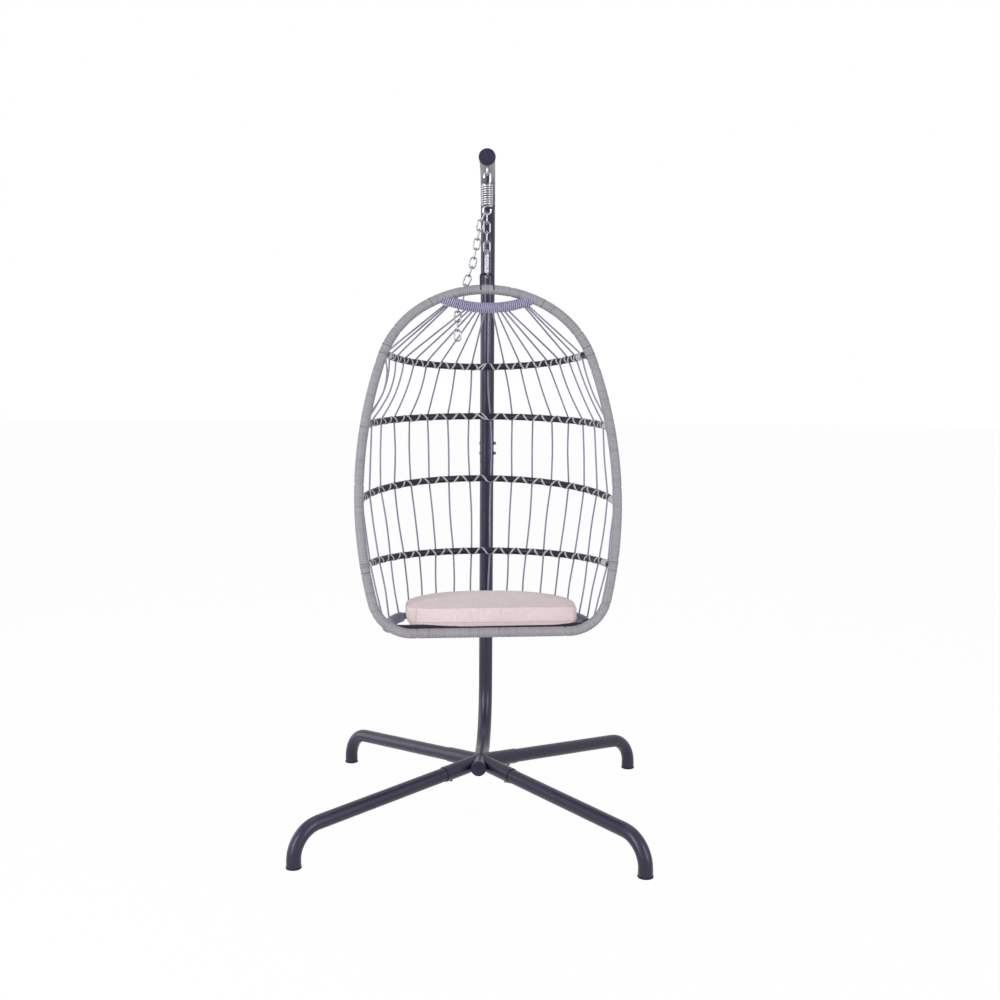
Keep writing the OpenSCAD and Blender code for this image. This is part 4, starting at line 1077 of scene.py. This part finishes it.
def swell(piece, voxel=0.005, pressure=4.0, frames=20, limit=0.005, base=0.004, slopes=(0.3, 0.92)):
    """Voxel remesh, then cloth with inner pressure, and the result applied, moved by no more than
    a limit. The cloth is held at its base and where its top edge slopes."""
    scene = bpy.context.scene
    remesh = piece.modifiers.new("remesh", "REMESH")
    remesh.mode = "VOXEL"
    remesh.voxel_size = voxel
    bpy.context.view_layer.objects.active = piece
    piece.select_set(True)
    bpy.ops.object.modifier_apply(modifier="remesh")
    rest = np.array([v.co for v in piece.data.vertices])
    group = piece.vertex_groups.new(name="held")
    rise = np.array([v.normal.z for v in piece.data.vertices])
    sewn = (rise > slopes[0]) & (rise < slopes[1]) & (rest[:, 2] > CUSHION[2] / 2)
    held = [int(i) for i in np.where((rest[:, 2] < base) | sewn)[0]]
    group.add(held, 1.0, "REPLACE")
    modifier = piece.modifiers.new("cloth", "CLOTH")
    settings = modifier.settings
    settings.use_pressure = True
    settings.uniform_pressure_force = pressure
    settings.effector_weights.gravity = 0
    settings.vertex_group_mass = "held"
    settings.quality = 6
    modifier.point_cache.frame_start = 1
    modifier.point_cache.frame_end = frames
    for number in range(1, frames + 1):
        scene.frame_set(number)
    shaped = piece.evaluated_get(bpy.context.evaluated_depsgraph_get())
    moved = np.array([v.co for v in shaped.data.vertices])
    piece.modifiers.remove(modifier)
    piece.vertex_groups.remove(group)
    shift = moved - rest
    length = np.linalg.norm(shift, axis=1, keepdims=True)
    shift *= np.minimum(1, limit / np.maximum(length, 1e-9))
    piece.data.vertices.foreach_set("co", (rest + shift).astype(np.float32).ravel())
    scene.frame_set(1)
    smooth = piece.modifiers.new("smooth", "SUBSURF")
    smooth.levels = smooth.render_levels = 1
    bpy.ops.object.modifier_apply(modifier="smooth")
    piece.data.polygons.foreach_set("use_smooth", [True] * len(piece.data.polygons))
    piece.select_set(False)


def fade(value, start, end):
    """0 before start, 1 past end, smooth between."""
    t = np.clip((value - start) / (end - start), 0, 1)
    return t * t * (3 - 2 * t)


def crease(piece, ripple=0.0016, fold_depth=0.003, pucker_depth=0.0009, sink=0.0025,
           droop_middle=0.0135, droop_tilt=0.0065, forward=0.0075):
    """Press soft waves and one fold into the top, pucker the cloth along its top seam, and let
    the front edge droop forwards, most at the left."""
    co = np.zeros(len(piece.data.vertices) * 3, np.float32)
    piece.data.vertices.foreach_get("co", co)
    co = co.reshape(-1, 3)
    x, y, z = co.T
    wave = ripple * np.sin(x * 19 + 1.7 * np.sin(y * 11)) * np.sin(y * 13 + 0.6)
    along, across = x + 0.12, y + 0.02 - 0.35 * (x + 0.12)
    fold = -fold_depth * np.exp(-(across / 0.006) ** 2) * np.exp(-(along / 0.09) ** 2)
    on_top = np.clip((z - 0.042) / 0.01, 0, 1)
    co[:, 2] += (wave + fold) * on_top
    pucker = pucker_depth * np.sin(np.arctan2(y - 0.06, x) * 46) * np.exp(-((z - 0.043) / 0.012) ** 2)
    away = unit(np.stack([x, y - 0.06], axis=1))
    co[:, :2] += away * pucker[:, None]
    front, low = fade(-y, 0.03, 0.08), fade(-z, -0.036, 0.0)
    droop = droop_middle - droop_tilt * x / (CUSHION[0] / 2)
    co[:, 2] -= front * (sink + droop * low)
    co[:, 1] -= forward * front * low
    piece.data.vertices.foreach_set("co", co.ravel())
    piece.data.update()


def welt(piece, name, guide):
    """A thin sewn welt on the cushion's skin, at the points of the skin nearest to a guide line."""
    route = []
    for point in guide:
        _, where, normal, _ = piece.closest_point_on_mesh(Vector(point))
        route.append(np.array(where) + np.array(normal) * 0.0002)
    points, faces, uvs = sweep(resample(route, 0.004), *WELT_SECTION, 6)
    return add_mesh(name, points, faces, uvs)


def welts(piece):
    """Welts round the cushion's top and bottom edges, and down its two front corners."""
    width, depth, height = CUSHION
    turns = 2 * math.pi * (np.arange(241) % 240 + 0.5) / 240
    rim = [cushion_edge(a, width, depth) * SEAM_OUTLINE for a in turns]
    top = height - SEAM_INSET
    made = [welt(piece, "cushion_seam_top", [(x, y, top) for x, y in rim]),
            welt(piece, "cushion_seam_bottom", [(x, y, SEAM_INSET) for x, y in rim])]
    for name, side in (("cushion_seam_left", -1), ("cushion_seam_right", 1)):
        x, y = cushion_edge(-math.pi / 2 + side * math.pi / 4, width, depth)
        made.append(welt(piece, name, [(x, y, z) for z in np.linspace(-SEAM_INSET, top, 12)]))
    return made


def cushion():
    """The cushion with its cloth form and its welts."""
    wall = CUSHION[2] * WALL_SHARE
    layers = [(h * wall, s * OUTLINE_SHARE) for h, s in CUSHION_WALLS]
    layers += [(wall + h * CUSHION_CROWN * TOP_SHARE, s * OUTLINE_SHARE) for h, s in CUSHION_TOP]
    points, faces = cushion_blank(layers)
    piece = add_mesh("seat_cushion", points, faces)
    swell(piece)
    crease(piece)
    place = cushion_place()
    seams = welts(piece)
    for part in [piece] + seams:
        part.matrix_world = place
    settle(piece, cloth, "basket", "linen", "cushion")
    for seam in seams:
        settle(seam, thread, "basket", "linen")


cushion()


# ------------------------------------------------------------------ studio

def camera():
    """The photograph's view, from 1.3 m up, with a slight turn and roll."""
    data = bpy.data.cameras.new("camera")
    data.sensor_width = SENSOR
    data.lens = LENS
    data.clip_end = CLIP_END
    cam = bpy.data.objects.new("camera", data)
    bpy.context.collection.objects.link(cam)
    turn = Matrix.Rotation(math.radians(CAMERA_TURN), 4, "Z")
    tilt = Matrix.Rotation(math.radians(CAMERA_TILT), 4, "X")
    roll = Matrix.Rotation(math.radians(CAMERA_ROLL), 4, "Z")
    cam.matrix_world = Matrix.Translation(CAMERA_PLACE) @ turn @ tilt @ roll
    bpy.context.scene.camera = cam


def softbox(name, place, aim, size, power_watts):
    data = bpy.data.lights.new(name, "AREA")
    data.shape = "RECTANGLE"
    data.size, data.size_y = size
    data.energy = power_watts
    lamp = bpy.data.objects.new(name, data)
    bpy.context.collection.objects.link(lamp)
    lamp.location = place
    lamp.rotation_euler = (Vector(aim) - Vector(place)).to_track_quat("-Z", "Y").to_euler()


def white_where_seen(tree, shader, strength_share):
    """Mix a shader with pure white for camera, glossy and transmission rays."""
    path = tree.nodes.new("ShaderNodeLightPath")
    seen = path.outputs["Is Camera Ray"]
    for ray in ("Is Glossy Ray", "Is Transmission Ray"):
        either = tree.nodes.new("ShaderNodeMath")
        either.operation = "MAXIMUM"
        tree.links.new(seen, either.inputs[0])
        tree.links.new(path.outputs[ray], either.inputs[1])
        seen = either.outputs[0]
    share = tree.nodes.new("ShaderNodeMath")
    share.operation = "MULTIPLY"
    share.inputs[1].default_value = strength_share
    tree.links.new(seen, share.inputs[0])
    mix = tree.nodes.new("ShaderNodeMixShader")
    tree.links.new(share.outputs[0], mix.inputs[0])
    tree.links.new(shader, mix.inputs[1])
    return mix


def floor():
    corners = ((-1, -1), (1, -1), (1, 1), (-1, 1))
    points = [(x * FLOOR_HALF, y * FLOOR_HALF, -FLOOR_DROP) for x, y in corners]
    plane = add_mesh("floor", points, [(0, 1, 2, 3)], smooth=False)
    m = Nodes("floor")
    m.finish((FLOOR_GREY, FLOOR_GREY, FLOOR_GREY, 1), FLOOR_ROUGHNESS)
    mix = white_where_seen(m.tree, m.shader.outputs[0], FLOOR_WHITE)
    glow = m.tree.nodes.new("ShaderNodeEmission")
    m.tree.links.new(glow.outputs[0], mix.inputs[2])
    m.tree.links.new(mix.outputs[0], m.tree.nodes["Material Output"].inputs[0])
    give(plane, m.material)


def world():
    sky = bpy.data.worlds.new("studio")
    sky.use_nodes = True
    bpy.context.scene.world = sky
    tree = sky.node_tree
    light = tree.nodes["Background"]
    light.inputs[0].default_value = (1, 1, 1, 1)
    light.inputs[1].default_value = WORLD_STRENGTH
    white = tree.nodes.new("ShaderNodeBackground")
    white.inputs[0].default_value = (1, 1, 1, 1)
    mix = white_where_seen(tree, light.outputs[0], 1.0)
    tree.links.new(white.outputs[0], mix.inputs[2])
    tree.links.new(mix.outputs[0], tree.nodes["World Output"].inputs[0])


camera()
floor()
world()
for light in SOFTBOXES:
    softbox(*light)
bpy.context.scene.view_settings.view_transform = "Standard"
